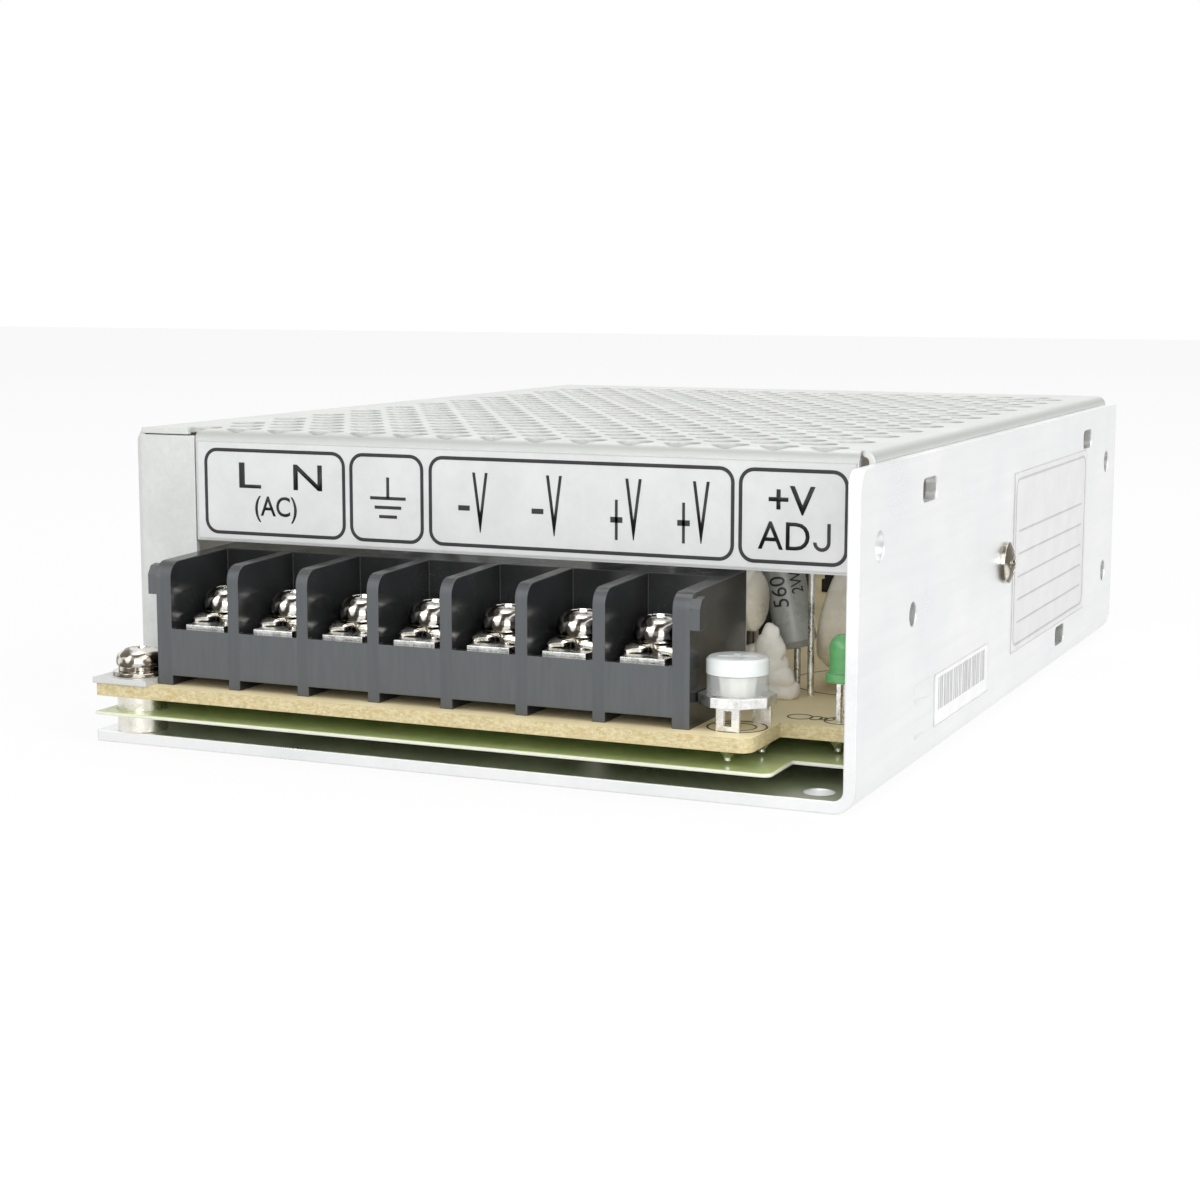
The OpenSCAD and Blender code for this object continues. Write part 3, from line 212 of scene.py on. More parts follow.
def make_painted_reflection():
    """Painted reflection: dark and bright bands, as a polished round surface would mirror them, given as a
    tone for each way that it faces.
    """
    group, given, out = new_group(
        "painted reflection bands",
        {"Scale": 1.6, "Start": 0.44, "End": 0.54},
        {"Tone": "NodeSocketFloat"},
    )
    rounded = group.nodes.new("ShaderNodeBevel")
    rounded.samples = 6
    rounded.inputs["Radius"].default_value = 0.0002
    shifted = group.nodes.new("ShaderNodeVectorMath")
    shifted.operation = "MULTIPLY_ADD"
    shifted.inputs[1].default_value = (2.0, 1.0, 0.7)
    shifted.inputs[2].default_value = (3.1, 1.7, 0.6)
    group.links.new(rounded.outputs["Normal"], shifted.inputs[0])
    bands = noise_node(group, shifted.outputs["Vector"], given.outputs["Scale"], 1.0, 0.3)
    ramp = group.nodes.new("ShaderNodeMapRange")
    ramp.interpolation_type = "SMOOTHSTEP"
    group.links.new(bands, ramp.inputs["Value"])
    group.links.new(given.outputs["Start"], ramp.inputs["From Min"])
    group.links.new(given.outputs["End"], ramp.inputs["From Max"])
    group.links.new(ramp.outputs["Result"], out.inputs["Tone"])
    return group


SOFT_EDGE = make_soft_edge()
MOTTLE = make_mottle()
SPANGLE = make_spangle()
# Painted reflection bands, used in the base colour of the polished nickel finishes
PAINTED_REFLECTION = make_painted_reflection()


# Materials ------------------------------------------------------------------------


def use_group(tree, group, **values):
    """Places a node group; an underscore in a name stands for a space."""
    node = tree.nodes.new("ShaderNodeGroup")
    node.node_tree = group
    for label, value in values.items():
        node.inputs[label.replace("_", " ")].default_value = value
    return node


def mix_colour(tree, factor, first, second):
    """Mixes two colours, each a socket or three numbers, by a factor socket."""
    node = tree.nodes.new("ShaderNodeMix")
    node.data_type = "RGBA"
    tree.links.new(factor, node.inputs["Factor"])
    for index, value in ((6, first), (7, second)):
        if isinstance(value, tuple):
            node.inputs[index].default_value = (*value, 1.0)
        else:
            tree.links.new(value, node.inputs[index])
    return node.outputs[2]


def remap(tree, value, low, high, from_low=0.3, from_high=0.7):
    """Maps a socket's value to the range from low to high."""
    node = tree.nodes.new("ShaderNodeMapRange")
    node.inputs["From Min"].default_value = from_low
    node.inputs["From Max"].default_value = from_high
    node.inputs["To Min"].default_value = low
    node.inputs["To Max"].default_value = high
    tree.links.new(value, node.inputs["Value"])
    return node.outputs["Result"]


def finish_material(
    name,
    dark,
    light,
    rough=(0.4, 0.5),
    metal=0.0,
    patch_scale=120.0,
    grain_scale=2200.0,
    grain=0.35,
    bump=0.04,
    edge_radius=0.00015,
    wear=0.0,
    wear_colour=None,
    **sockets,
):
    """A surface that drifts between two colours, with grain, soft edges and worn edges."""
    material = bpy.data.materials.new(name)
    material.use_nodes = True
    tree = material.node_tree
    shader = tree.nodes["Principled BSDF"]
    mottle = use_group(tree, MOTTLE, Patch_Scale=patch_scale, Grain_Scale=grain_scale, Grain=grain)
    edge = use_group(tree, SOFT_EDGE, Radius=edge_radius, Wear=wear)
    colour = mix_colour(tree, remap(tree, mottle.outputs["Patches"], 0.0, 1.0), dark, light)
    if wear:
        colour = mix_colour(tree, edge.outputs["Wear"], colour, wear_colour or light)
    tree.links.new(colour, shader.inputs["Base Color"])
    roughness = remap(tree, mottle.outputs["Patches"], rough[0], rough[1])
    tree.links.new(roughness, shader.inputs["Roughness"])
    relief = tree.nodes.new("ShaderNodeBump")
    relief.inputs["Strength"].default_value = bump
    relief.inputs["Distance"].default_value = 0.0001
    tree.links.new(mottle.outputs["Grain"], relief.inputs["Height"])
    tree.links.new(edge.outputs["Normal"], relief.inputs["Normal"])
    tree.links.new(relief.outputs["Normal"], shader.inputs["Normal"])
    shader.inputs["Metallic"].default_value = metal
    for label, value in sockets.items():
        shader.inputs[label.replace("_", " ")].default_value = value
    return material


def socket_source(material, label):
    """The socket that feeds an input of the material's shader."""
    return material.node_tree.nodes["Principled BSDF"].inputs[label].links[0].from_socket


def refeed(material, label, socket):
    """Feeds an input of the material's shader from another socket."""
    material.node_tree.links.new(socket, material.node_tree.nodes["Principled BSDF"].inputs[label])


def object_axes(tree):
    """The object coordinates, and each of them as a value."""
    where = tree.nodes.new("ShaderNodeTexCoord").outputs["Object"]
    split = tree.nodes.new("ShaderNodeSeparateXYZ")
    tree.links.new(where, split.inputs["Vector"])
    return where, split.outputs


def facing(tree, axis):
    """How far the surface faces along an axis: the normal's X, Y or Z."""
    split = tree.nodes.new("ShaderNodeSeparateXYZ")
    tree.links.new(tree.nodes.new("ShaderNodeNewGeometry").outputs["Normal"], split.inputs["Vector"])
    return split.outputs[axis]


def chassis_aluminium():
    """Bright bare aluminium with fine streaks along the sheet."""
    material = finish_material(
        "chassis aluminium", (0.82, 0.83, 0.84), (0.90, 0.90, 0.90), rough=(0.27, 0.38), metal=0.92,
        patch_scale=60.0, grain_scale=3000.0, grain=0.25, bump=0.01, edge_radius=0.00025,
        wear=0.08, wear_colour=(0.95, 0.95, 0.95),
    )
    tree = material.node_tree
    where, _ = object_axes(tree)
    streaks = noise_node(tree, stretched(tree, where, (900.0, 40.0, 900.0)), 1.0, 2.0)
    tone = remap(tree, streaks, 0.0, 0.14)
    colour = mix_colour(tree, tone, socket_source(material, "Base Color"), (0.66, 0.67, 0.68))
    refeed(material, "Base Color", colour)
    return material


def cover_steel():
    """Zinc-coated steel with a faint spangle, and painted shade, a darker colour, on the sloping faces where
    the sheet is bent.
    """
    material = finish_material(
        "galvanised steel", (0.58, 0.59, 0.58), (0.65, 0.66, 0.64), rough=(0.38, 0.50), metal=0.35,
        patch_scale=110.0, grain_scale=2600.0, grain=0.6, bump=0.08, edge_radius=0.0002,
        wear=0.5, wear_colour=(0.80, 0.80, 0.79),
    )
    tree = material.node_tree
    spangle = use_group(tree, SPANGLE, Scale=900.0)
    tone = remap(tree, spangle.outputs["Tone"], 0.0, 0.22, 0.0, 1.0)
    colour = mix_colour(tree, tone, socket_source(material, "Base Color"), (0.48, 0.50, 0.49))
    # Painted shade: faces sloping between flat and upright, as on the bends, are darkened
    up = math_node(tree, "ABSOLUTE", facing(tree, "Z"))
    sloping = math_node(tree, "MULTIPLY", up, math_node(tree, "SUBTRACT", 1.0, up))
    painted_bend_shade = math_node(tree, "MULTIPLY", sloping, 3.6, clamp=True)
    refeed(material, "Base Color", mix_colour(tree, painted_bend_shade, colour, (0.36, 0.37, 0.355)))
    return material


def block_plastic():
    """Black moulded plastic, glossy inside the cells and matt on the front faces, which carry painted light:
    a lighter grey for the light that falls on them, a little less on the barrier posts.
    """
    material = finish_material(
        "block plastic", (0.017, 0.018, 0.019), (0.027, 0.028, 0.029), rough=(0.13, 0.28),
        patch_scale=180.0, grain_scale=5200.0, grain=0.4, bump=0.06, edge_radius=0.00018,
        wear=0.6, wear_colour=(0.20, 0.205, 0.21),
    )
    tree = material.node_tree
    where, axes = object_axes(tree)
    # Painted light: front-facing faces near the block's front get a lighter grey than the black plastic
    near = remap(tree, axes["Y"], 1.0, 0.0, block_low.y + 0.5 * MM, block_low.y + 1.5 * MM)
    ahead = remap(tree, facing(tree, "Y"), 1.0, 0.0, -0.95, -0.35)
    front = math_node(tree, "MULTIPLY", near, ahead)
    streaks = noise_node(tree, stretched(tree, where, (1500.0, 100.0, 160.0)), 1.0, 3.0)
    grey = mix_colour(tree, remap(tree, streaks, 0.0, 1.0), (0.072, 0.078, 0.083), (0.087, 0.093, 0.098))
    # The barrier posts' fronts get a darker grey, so less painted light
    post = math_node(tree, "WRAP", axes["X"], POST_X + POST_W / 2)
    post.node.inputs[2].default_value = POST_X + POST_W / 2 - TERMINAL_PITCH
    post = math_node(tree, "GREATER_THAN", post, POST_X - POST_W / 2)
    grey = mix_colour(tree, math_node(tree, "MULTIPLY", post, 0.4), grey, (0.060, 0.065, 0.071))
    refeed(material, "Base Color", mix_colour(tree, front, socket_source(material, "Base Color"), grey))
    matt = math_node(tree, "MULTIPLY", front, 0.5)
    refeed(material, "Roughness", math_node(tree, "MAXIMUM", socket_source(material, "Roughness"), matt))
    return material


def insulating_film():
    """Green film: clear yellow-green on its face, pale along its cut edge."""
    material = lacquer(
        "insulating film", (0.40, 0.45, 0.23), (0.48, 0.52, 0.29), rough=(0.14, 0.22), bump=0.0,
        Subsurface_Weight=0.7, Subsurface_Radius=(0.8, 1.0, 0.4), Subsurface_Scale=0.002,
    )
    tree = material.node_tree
    rim = math_node(tree, "SUBTRACT", 1.0, math_node(tree, "ABSOLUTE", facing(tree, "Z")))
    colour = mix_colour(tree, rim, socket_source(material, "Base Color"), (0.72, 0.75, 0.60))
    refeed(material, "Base Color", colour)
    return material


def board_laminate():
    """Buff paper laminate: greenish below, with a grainy, stained cut edge."""
    material = finish_material(
        "board laminate", (0.80, 0.67, 0.39), (0.90, 0.78, 0.49), rough=(0.42, 0.6),
        patch_scale=90.0, grain_scale=4000.0, grain=0.5, bump=0.06, edge_radius=0.0001,
    )
    tree = material.node_tree
    where, _ = object_axes(tree)
    up = facing(tree, "Z")
    under = remap(tree, up, 1.0, 0.0, -0.9, -0.5)
    side = math_node(tree, "SUBTRACT", 1.0, math_node(tree, "ABSOLUTE", up))
    side = remap(tree, side, 0.0, 1.0, 0.4, 0.8)
    fibres = noise_node(tree, stretched(tree, where, (1700.0, 1700.0, 3200.0)), 1.0, 4.0, 0.75)
    edge = mix_colour(tree, remap(tree, fibres, 0.0, 1.0, 0.36, 0.62), (0.46, 0.37, 0.18), (0.64, 0.56, 0.34))
    stains = noise_node(tree, stretched(tree, where, (420.0, 420.0, 1100.0)), 1.0, 3.0, 0.6)
    edge = mix_colour(tree, remap(tree, stains, 0.0, 0.5, 0.54, 0.68), edge, (0.50, 0.34, 0.12))
    colour = mix_colour(tree, side, socket_source(material, "Base Color"), edge)
    refeed(material, "Base Color", mix_colour(tree, under, colour, (0.44, 0.46, 0.30)))
    return material


def milky_plastic(name, dark, light, clear, **sockets):
    """Smooth plastic that lets part of the light through."""
    return finish_material(
        name, dark, light, rough=(0.12, 0.2), patch_scale=300.0, bump=0.0, edge_radius=0.0001,
        Transmission_Weight=clear, IOR=1.5, **sockets,
    )


def shiny_metal(name, dark, light, rough, grain_scale=3500.0, bump=0.05, wear=0.0):
    """Plated or tinned metal with a fine grain."""
    return finish_material(
        name, dark, light, rough=rough, metal=1.0, patch_scale=500.0, grain_scale=grain_scale,
        grain=0.6, bump=bump, edge_radius=0.00012, wear=wear, wear_colour=(0.92, 0.92, 0.9),
    )


def metal_with_painted_reflection(name, deep, dark, light, rough, bump=0.03, scale=1.6):
    """Nickel with painted reflection: the deep dark colour and the plain finish mixed in bands, as a polished
    round surface would mirror them.
    """
    material = shiny_metal(name, dark, light, rough, bump=bump, wear=0.15)
    tree = material.node_tree
    bands = use_group(tree, PAINTED_REFLECTION, Scale=scale)
    plain = socket_source(material, "Base Color")
    # Painted reflection: the band tone mixes the deep dark colour with the plain finish
    refeed(material, "Base Color", mix_colour(tree, bands.outputs["Tone"], deep, plain))
    return material


def moulded(name, dark, light, rough=(0.35, 0.5), bump=0.05, wear=0.25, **sockets):
    """Matt moulded plastic with lightly rubbed edges."""
    worn = tuple(min(1.0, c * 2.4 + 0.02) for c in light)
    return finish_material(
        name, dark, light, rough=rough, patch_scale=180.0, grain_scale=5200.0, grain=0.4, bump=bump,
        edge_radius=0.0002, wear=wear, wear_colour=worn, **sockets,
    )


def lacquer(name, dark, light, rough=(0.22, 0.34), bump=0.03, **sockets):
    """A dipped, painted or film-like coat with well-rounded edges."""
    return finish_material(
        name, dark, light, rough=rough, patch_scale=260.0, grain_scale=1500.0, grain=0.3, bump=bump,
        edge_radius=0.0004, **sockets,
    )


FINISHES = {
    "chassis_aluminium": chassis_aluminium(),
    "cover_steel": cover_steel(),
    "marking_film": lacquer(
        "marking film", (0.59, 0.595, 0.595), (0.645, 0.65, 0.65), rough=(0.3, 0.4), bump=0.01,
    ),
    "rating_film": lacquer(
        "rating film", (0.58, 0.58, 0.58), (0.65, 0.65, 0.65), rough=(0.35, 0.45), bump=0.01,
    ),
    "serial_film": lacquer(
        "serial film", (0.70, 0.70, 0.70), (0.77, 0.77, 0.77), rough=(0.4, 0.5), bump=0.01,
    ),
    "insulating_film": insulating_film(),
    "board_laminate": board_laminate(),
    # Nickel finishes with painted reflection bands; the first colour of each is the painted dark reflection
    "nickel_plate": metal_with_painted_reflection(
        "nickel plate", (0.13, 0.11, 0.08), (0.62, 0.59, 0.52), (0.86, 0.83, 0.76), (0.14, 0.26),
    ),
    "screw_nickel": metal_with_painted_reflection(
        "bright nickel", (0.05, 0.045, 0.035), (0.72, 0.69, 0.63), (0.92, 0.90, 0.85), (0.06, 0.14),
    ),
    "tin": shiny_metal("tinned metal", (0.48, 0.48, 0.46), (0.94, 0.94, 0.92), (0.18, 0.46), 2400.0, 0.5),
    "block_plastic": block_plastic(),
    "milky_plastic": milky_plastic("milky plastic", (0.86, 0.90, 0.89), (0.90, 0.93, 0.92), 0.15),
    "green_resin": lacquer(
        "green resin", (0.14, 0.46, 0.16), (0.22, 0.58, 0.24), rough=(0.1, 0.18),
        Transmission_Weight=0.25, IOR=1.5,
    ),
    "grey_lacquer": lacquer("grey lacquer", (0.30, 0.315, 0.29), (0.38, 0.39, 0.37)),
    "ivory_lacquer": lacquer("ivory lacquer", (0.82, 0.77, 0.65), (0.90, 0.86, 0.75)),
    "silicone": lacquer("silicone", (0.84, 0.81, 0.73), (0.92, 0.90, 0.83), rough=(0.3, 0.42), bump=0.12),
    "capacitor_sleeve": lacquer("capacitor sleeve", (0.015, 0.018, 0.03), (0.03, 0.035, 0.055)),
    "ceramic": lacquer("ceramic", (0.80, 0.79, 0.74), (0.88, 0.87, 0.82)),
    "green_lacquer": lacquer("green lacquer", (0.05, 0.09, 0.04), (0.08, 0.14, 0.06)),
    "yellow_plastic": lacquer("yellow plastic", (0.56, 0.38, 0.06), (0.72, 0.52, 0.10)),
    "blue_lacquer": lacquer("blue lacquer", (0.05, 0.14, 0.36), (0.09, 0.22, 0.50)),
    "copper_wire": shiny_metal("enamelled copper", (0.42, 0.16, 0.06), (0.62, 0.28, 0.12), (0.2, 0.35)),
    "black_plastic": moulded("black plastic", (0.018, 0.018, 0.02), (0.03, 0.03, 0.033)),
    "ferrite": moulded("ferrite", (0.03, 0.03, 0.033), (0.055, 0.055, 0.06), rough=(0.5, 0.65)),
    "bobbin_plastic": moulded("bobbin plastic", (0.52, 0.48, 0.38), (0.62, 0.58, 0.48), wear=0.0),
    "winding_tape": lacquer("winding tape", (0.60, 0.44, 0.06), (0.76, 0.58, 0.12)),
    "grey_pad": moulded("silicone pad", (0.28, 0.30, 0.33), (0.36, 0.38, 0.41), wear=0.0),
}
ink = lacquer("black ink", (0.012, 0.012, 0.014), (0.022, 0.022, 0.025), rough=(0.35, 0.5), bump=0.01)
grey_ink = lacquer("grey ink", (0.46, 0.46, 0.47), (0.54, 0.54, 0.55), rough=(0.4, 0.5), bump=0.01)
board_ink = lacquer("board ink", (0.06, 0.05, 0.035), (0.10, 0.085, 0.06), rough=(0.45, 0.6), bump=0.02)

clear_plastic = milky_plastic("clear plastic", (0.86, 0.90, 0.89), (0.92, 0.95, 0.94), 0.0, Alpha=0.3)
bright_tin = shiny_metal("bright tin", (0.70, 0.70, 0.68), (0.95, 0.95, 0.93), (0.24, 0.42), 2400.0, 0.4)
clamp_nickel = shiny_metal("clamp nickel", (0.74, 0.71, 0.64), (0.94, 0.92, 0.87), (0.10, 0.2))
satin_nickel = shiny_metal("satin nickel", (0.70, 0.67, 0.60), (0.88, 0.86, 0.79), (0.26, 0.38), bump=0.03)
# Nodes whose finish differs from their slot's usual one
ODD_ONES = {"trimmer_base": clear_plastic, "trimmer_frame": bright_tin, "board_standoffs": satin_nickel}

SLOTS = {part["node"]: part["material_slot"] for part in frame["record"]["subparts"]}
BODIES = {node: body for body, nodes in frame["record"]["behaviour"]["bodies"].items() for node in nodes}
for node, material_slot in SLOTS.items():
    node_mesh = frame["nodes"][node].data
    node_mesh.materials.clear()
    node_mesh.materials.append(ODD_ONES.get(node, FINISHES[material_slot]))


# Pieces ----------------------------------------------------------------------------


def add_piece(name, shape, material, body=CASE):
    """Makes a mesh object from a bmesh, dresses it and lets it ride on a body."""
    bmesh.ops.remove_doubles(shape, verts=shape.verts, dist=1e-7)
    bmesh.ops.recalc_face_normals(shape, faces=shape.faces)
    mesh = bpy.data.meshes.new(name)
    shape.to_mesh(mesh)
    shape.free()
    mesh.materials.append(material)
    piece = bpy.data.objects.new(name, mesh)
    bpy.context.collection.objects.link(piece)
    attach(piece, body)
    return piece


def soften(node, edge=0.0, corner=35.0):
    """Puts a copy with smooth round faces and rounded edges, of a given radius, in a CAD node's place."""
    shape = bmesh.new()
    shape.from_mesh(frame["nodes"][node].data)
    bmesh.ops.remove_doubles(shape, verts=shape.verts, dist=MERGE)
    bmesh.ops.dissolve_limit(shape, angle_limit=math.radians(1.5), verts=shape.verts, edges=shape.edges)
    mesh = bpy.data.meshes.new(node + "_smooth")
    shape.to_mesh(mesh)
    shape.free()
    mesh.polygons.foreach_set("use_smooth", [True] * len(mesh.polygons))
    mesh.set_sharp_from_angle(angle=math.radians(corner))
    mesh.materials.append(ODD_ONES.get(node, FINISHES[SLOTS[node]]))
    piece = bpy.data.objects.new(node + "_smooth", mesh)
    bpy.context.collection.objects.link(piece)
    if edge:
        rounding = piece.modifiers.new("rounding", "BEVEL")
        rounding.width = edge
        rounding.segments = 2
        rounding.limit_method = "ANGLE"
        rounding.angle_limit = math.radians(corner)
        rounding.harden_normals = True
    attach(piece, BODIES[node])
    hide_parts(node)


def finished_object(name, shape, cutter=None):
    """A mesh object from a bmesh, cut by another on demand, with smooth round faces."""
    holder = bpy.data.objects.new(name, bpy.data.meshes.new(name))
    bmesh.ops.recalc_face_normals(shape, faces=shape.faces)
    shape.to_mesh(holder.data)
    shape.free()
    bpy.context.collection.objects.link(holder)
    if cutter:
        tool = finished_object(name + "_tool", cutter)
        cut = holder.modifiers.new("recess", "BOOLEAN")
        cut.operation = "DIFFERENCE"
        cut.solver = "EXACT"
        cut.use_self = True
        cut.object = tool
        bpy.context.view_layer.update()
        cut_holder = holder.evaluated_get(bpy.context.evaluated_depsgraph_get())
        holder.data = bpy.data.meshes.new_from_object(cut_holder)
        holder.modifiers.clear()
        bpy.data.objects.remove(tool)
    holder.data.polygons.foreach_set("use_smooth", [True] * len(holder.data.polygons))
    holder.data.set_sharp_from_angle(angle=SMOOTH_UP_TO)
    return holder


def pan_head_screw(name, radius, rise, shank, length, arm):
    """A screw on the origin: full rounded pan head above, shank below, cross recess in the top."""
    shape = bmesh.new()
    side = rise * 0.22
    outline = [(0.0, -length), (shank - 0.3 * MM, -length), (shank, -length + 0.4 * MM), (shank, 0.0)]
    outline += [(radius * 0.94, 0.0), (radius * 0.985, side * 0.3), (radius, side)]
    for step in range(11, 0, -1):
        angle = math.radians(90 * step / 12)
        height = side + (rise - side) * math.cos(angle) ** 0.86
        outline.append((radius * math.sin(angle) ** 0.72, height))
    outline.append((0.0, rise))
    line = [shape.verts.new((x, 0.0, z)) for x, z in outline]
    edges = [shape.edges.new(pair) for pair in zip(line, line[1:])]
    bmesh.ops.spin(
        shape, geom=line + edges, cent=(0, 0, 0), axis=(0, 0, 1), dvec=(0, 0, 0), angle=math.tau,
        steps=48, use_merge=True,
    )
    bmesh.ops.remove_doubles(shape, verts=shape.verts, dist=MERGE)
    cutter = bmesh.new()
    for turn in RECESS_TURNS:
        made = bmesh.ops.create_cube(cutter, size=1.0)["verts"]
        bmesh.ops.scale(cutter, verts=made, vec=(2 * arm, arm * 0.5, rise))
        for vert in made:
            if vert.co.z < 0:
                vert.co.x *= 0.6
        turning = Matrix.Rotation(math.radians(turn), 3, "Z")
        bmesh.ops.rotate(cutter, verts=made, cent=(0, 0, 0), matrix=turning)
        bmesh.ops.translate(cutter, verts=made, vec=(0, 0, rise * 0.95))
    return finished_object(name, shape, cutter)


def clamp_plate(name, half, rise, hole):
    """A square clamp plate on the origin: arched wings bent down in front and behind, each with a notch."""
    shape = bmesh.new()
    made = bmesh.ops.create_grid(shape, x_segments=26, y_segments=26, size=1.0)["verts"]
    for vert in made:
        u, v = vert.co.x, vert.co.y
        notch = max(0.0, 1.0 - abs(u) * half / (1.0 * MM))
        reach = 1.0 - 0.26 * notch * abs(v) ** 3
        vert.co.x = u * half * (1.0 - 0.05 * v ** 4)
        vert.co.y = v * (half + 0.35 * MM) * reach
        vert.co.z = rise - (rise - 0.62 * MM) * abs(v) ** 5 * (1.0 - 0.3 * notch) - 0.30 * MM * u ** 4
    middle = [v for v in made if math.hypot(v.co.x, v.co.y) < hole]
    bmesh.ops.delete(shape, geom=middle, context="VERTS")
    bmesh.ops.recalc_face_normals(shape, faces=shape.faces)
    if shape.faces[:][0].normal.z < 0:
        bmesh.ops.reverse_faces(shape, faces=shape.faces)
    bmesh.ops.solidify(shape, geom=shape.faces[:], thickness=0.6 * MM)
    return finished_object(name, shape)


def place_copy(source, name, place, node, finish=None):
    """Puts a copy of a finished object at a place, in the stead of a CAD node."""
    mesh = source.data.copy()
    mesh.transform(Matrix.Translation(place))
    mesh.materials.clear()
    mesh.materials.append(finish or FINISHES[SLOTS[node]])
    piece = bpy.data.objects.new(name, mesh)
    bpy.context.collection.objects.link(piece)
    rounding = piece.modifiers.new("rounding", "BEVEL")
    rounding.width = 0.07 * MM
    rounding.segments = 2
    rounding.limit_method = "ANGLE"
    rounding.angle_limit = SMOOTH_UP_TO
    rounding.harden_normals = True
    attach(piece, BODIES[node])
    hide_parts(node)


def islands(node):
    """The boxes (low, high) of a CAD node's separate solids."""
    shape = bmesh.new()
    shape.from_mesh(frame["nodes"][node].data)
    bmesh.ops.remove_doubles(shape, verts=shape.verts, dist=MERGE)
    left = set(shape.verts)
    boxes = []
    while left:
        front = [left.pop()]
        island = list(front)
        while front:
            for edge in front.pop().link_edges:
                for vert in edge.verts:
                    if vert in left:
                        left.remove(vert)
                        front.append(vert)
                        island.append(vert)
        corners = list(zip(*(v.co for v in island)))
        boxes.append((Vector(map(min, corners)), Vector(map(max, corners))))
    shape.free()
    return sorted(boxes, key=lambda box: (round(box[0].x, 5), round(box[0].y, 5)))


def add_terminal_hardware():
    """Screws and clamp plates of the terminals, and the board's own screws."""
    low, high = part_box("terminal_screw_1")
    clamp_low, clamp_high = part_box("clamp_washer_1")
    radius = (high.x - low.x) / 2
    rise, length = high.z - clamp_high.z, clamp_high.z - low.z
    screw = pan_head_screw("screw_pattern", radius, rise, SCREW_SHANK, length, 1.75 * MM)
    half = (clamp_high.x - clamp_low.x) / 2
    clamp = clamp_plate("clamp_pattern", half, clamp_high.z - clamp_low.z, SCREW_SHANK + 0.2 * MM)
    for number in range(1, TERMINALS + 1):
        node = f"terminal_screw_{number}"
        low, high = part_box(node)
        x, y = (low.x + high.x) / 2, (low.y + high.y) / 2
        place_copy(screw, f"pan_head_{number}", (x, y, clamp_high.z), node)
        node = f"clamp_washer_{number}"
        place_copy(clamp, f"clamp_plate_{number}", (x, y, clamp_low.z), node, clamp_nickel)
    bpy.data.objects.remove(screw)
    bpy.data.objects.remove(clamp)
    for number, (low, high) in enumerate(islands("board_screws"), 1):
        width = high.x - low.x
        length = high.z - low.z - BOARD_HEAD_RISE
        screw = pan_head_screw(
            "screw_pattern", width / 2, BOARD_HEAD_RISE, width / 4 - 0.02 * MM, length, 1.4 * MM,
        )
        place = ((low.x + high.x) / 2, (low.y + high.y) / 2, high.z - BOARD_HEAD_RISE)
        place_copy(screw, f"board_screw_{number}", place, "board_screws")
        bpy.data.objects.remove(screw)


def plate(shape, width, height, place, corner=0.0, line=None):
    """A flat plate, round-cornered and cut to a frame of a given line on demand, at a place."""
    made = bmesh.ops.create_grid(shape, x_segments=1, y_segments=1, size=0.5)["verts"]
    bmesh.ops.scale(shape, verts=made, vec=(width, height, 1.0))
    faces = list({f for v in made for f in v.link_faces})
    if corner:
        done = bmesh.ops.bevel(
            shape, geom=made, offset=corner, offset_type="OFFSET", affect="VERTICES", segments=8,
            profile=0.5, material=-1,
        )
        faces = list({f for v in done["verts"] for f in v.link_faces})
    if line:
        outer = list(faces)
        rim = bmesh.ops.inset_region(
            shape, faces=faces, thickness=line, use_even_offset=True, use_boundary=True,
        )["faces"]
        bmesh.ops.delete(shape, geom=outer, context="FACES_ONLY")
        faces = rim
    raised = bmesh.ops.extrude_face_region(shape, geom=faces)["geom"]
    top = [g for g in raised if isinstance(g, bmesh.types.BMVert)]
    bmesh.ops.translate(shape, verts=top, vec=(0.0, 0.0, INK_RISE))
    whole = list({v for f in faces for v in f.verts} | set(top))
    bmesh.ops.transform(shape, matrix=place, verts=whole)


FRONT_FACE = Matrix.Rotation(math.radians(90), 4, "X")
SIDE_FACE = Matrix.Rotation(math.radians(90), 4, "Z") @ FRONT_FACE


def on_front(x, z):
    """The place of a mark on the flange's film, at x and z in millimetres."""
    return Matrix.Translation((x * MM, label_low.y, z * MM)) @ FRONT_FACE


def on_side(y, z, surface):
    """The place of a mark on a film of the side wall, at y and z in millimetres."""
    return Matrix.Translation((surface, y * MM, z * MM)) @ SIDE_FACE


def letters(name, words, box, bold=0.0):
    """Raised letters that fill a box (width, height) in millimetres, centred on the origin."""
    curve = bpy.data.curves.new(name, "FONT")
    curve.body = words
    curve.offset = bold
    curve.resolution_u = 4
    holder = bpy.data.objects.new(name + "_words", curve)
    bpy.context.collection.objects.link(holder)
    bpy.context.view_layer.update()
    evaluated = holder.evaluated_get(bpy.context.evaluated_depsgraph_get())
    mesh = bpy.data.meshes.new_from_object(evaluated)
    bpy.data.objects.remove(holder)
    shape = bmesh.new()
    shape.from_mesh(mesh)
    xs = [v.co.x for v in shape.verts]
    ys = [v.co.y for v in shape.verts]
    middle = (-(min(xs) + max(xs)) / 2, -(min(ys) + max(ys)) / 2, 0.0)
    bmesh.ops.translate(shape, verts=shape.verts, vec=middle)
    bmesh.ops.scale(
        shape, verts=shape.verts,
        vec=(box[0] * MM / (max(xs) - min(xs)), box[1] * MM / (max(ys) - min(ys)), 1.0),
    )
    raised = bmesh.ops.extrude_face_region(shape, geom=shape.faces[:])["geom"]
    top = [g for g in raised if isinstance(g, bmesh.types.BMVert)]
    bmesh.ops.translate(shape, verts=top, vec=(0, 0, INK_RISE))
    return shape


def add_words(name, words, box, place, material, bold=0.0):
    """Raised letters on a flat face."""
    shape = letters(name, words, box, bold)
    bmesh.ops.transform(shape, matrix=place, verts=shape.verts)
    add_piece(name, shape, material)


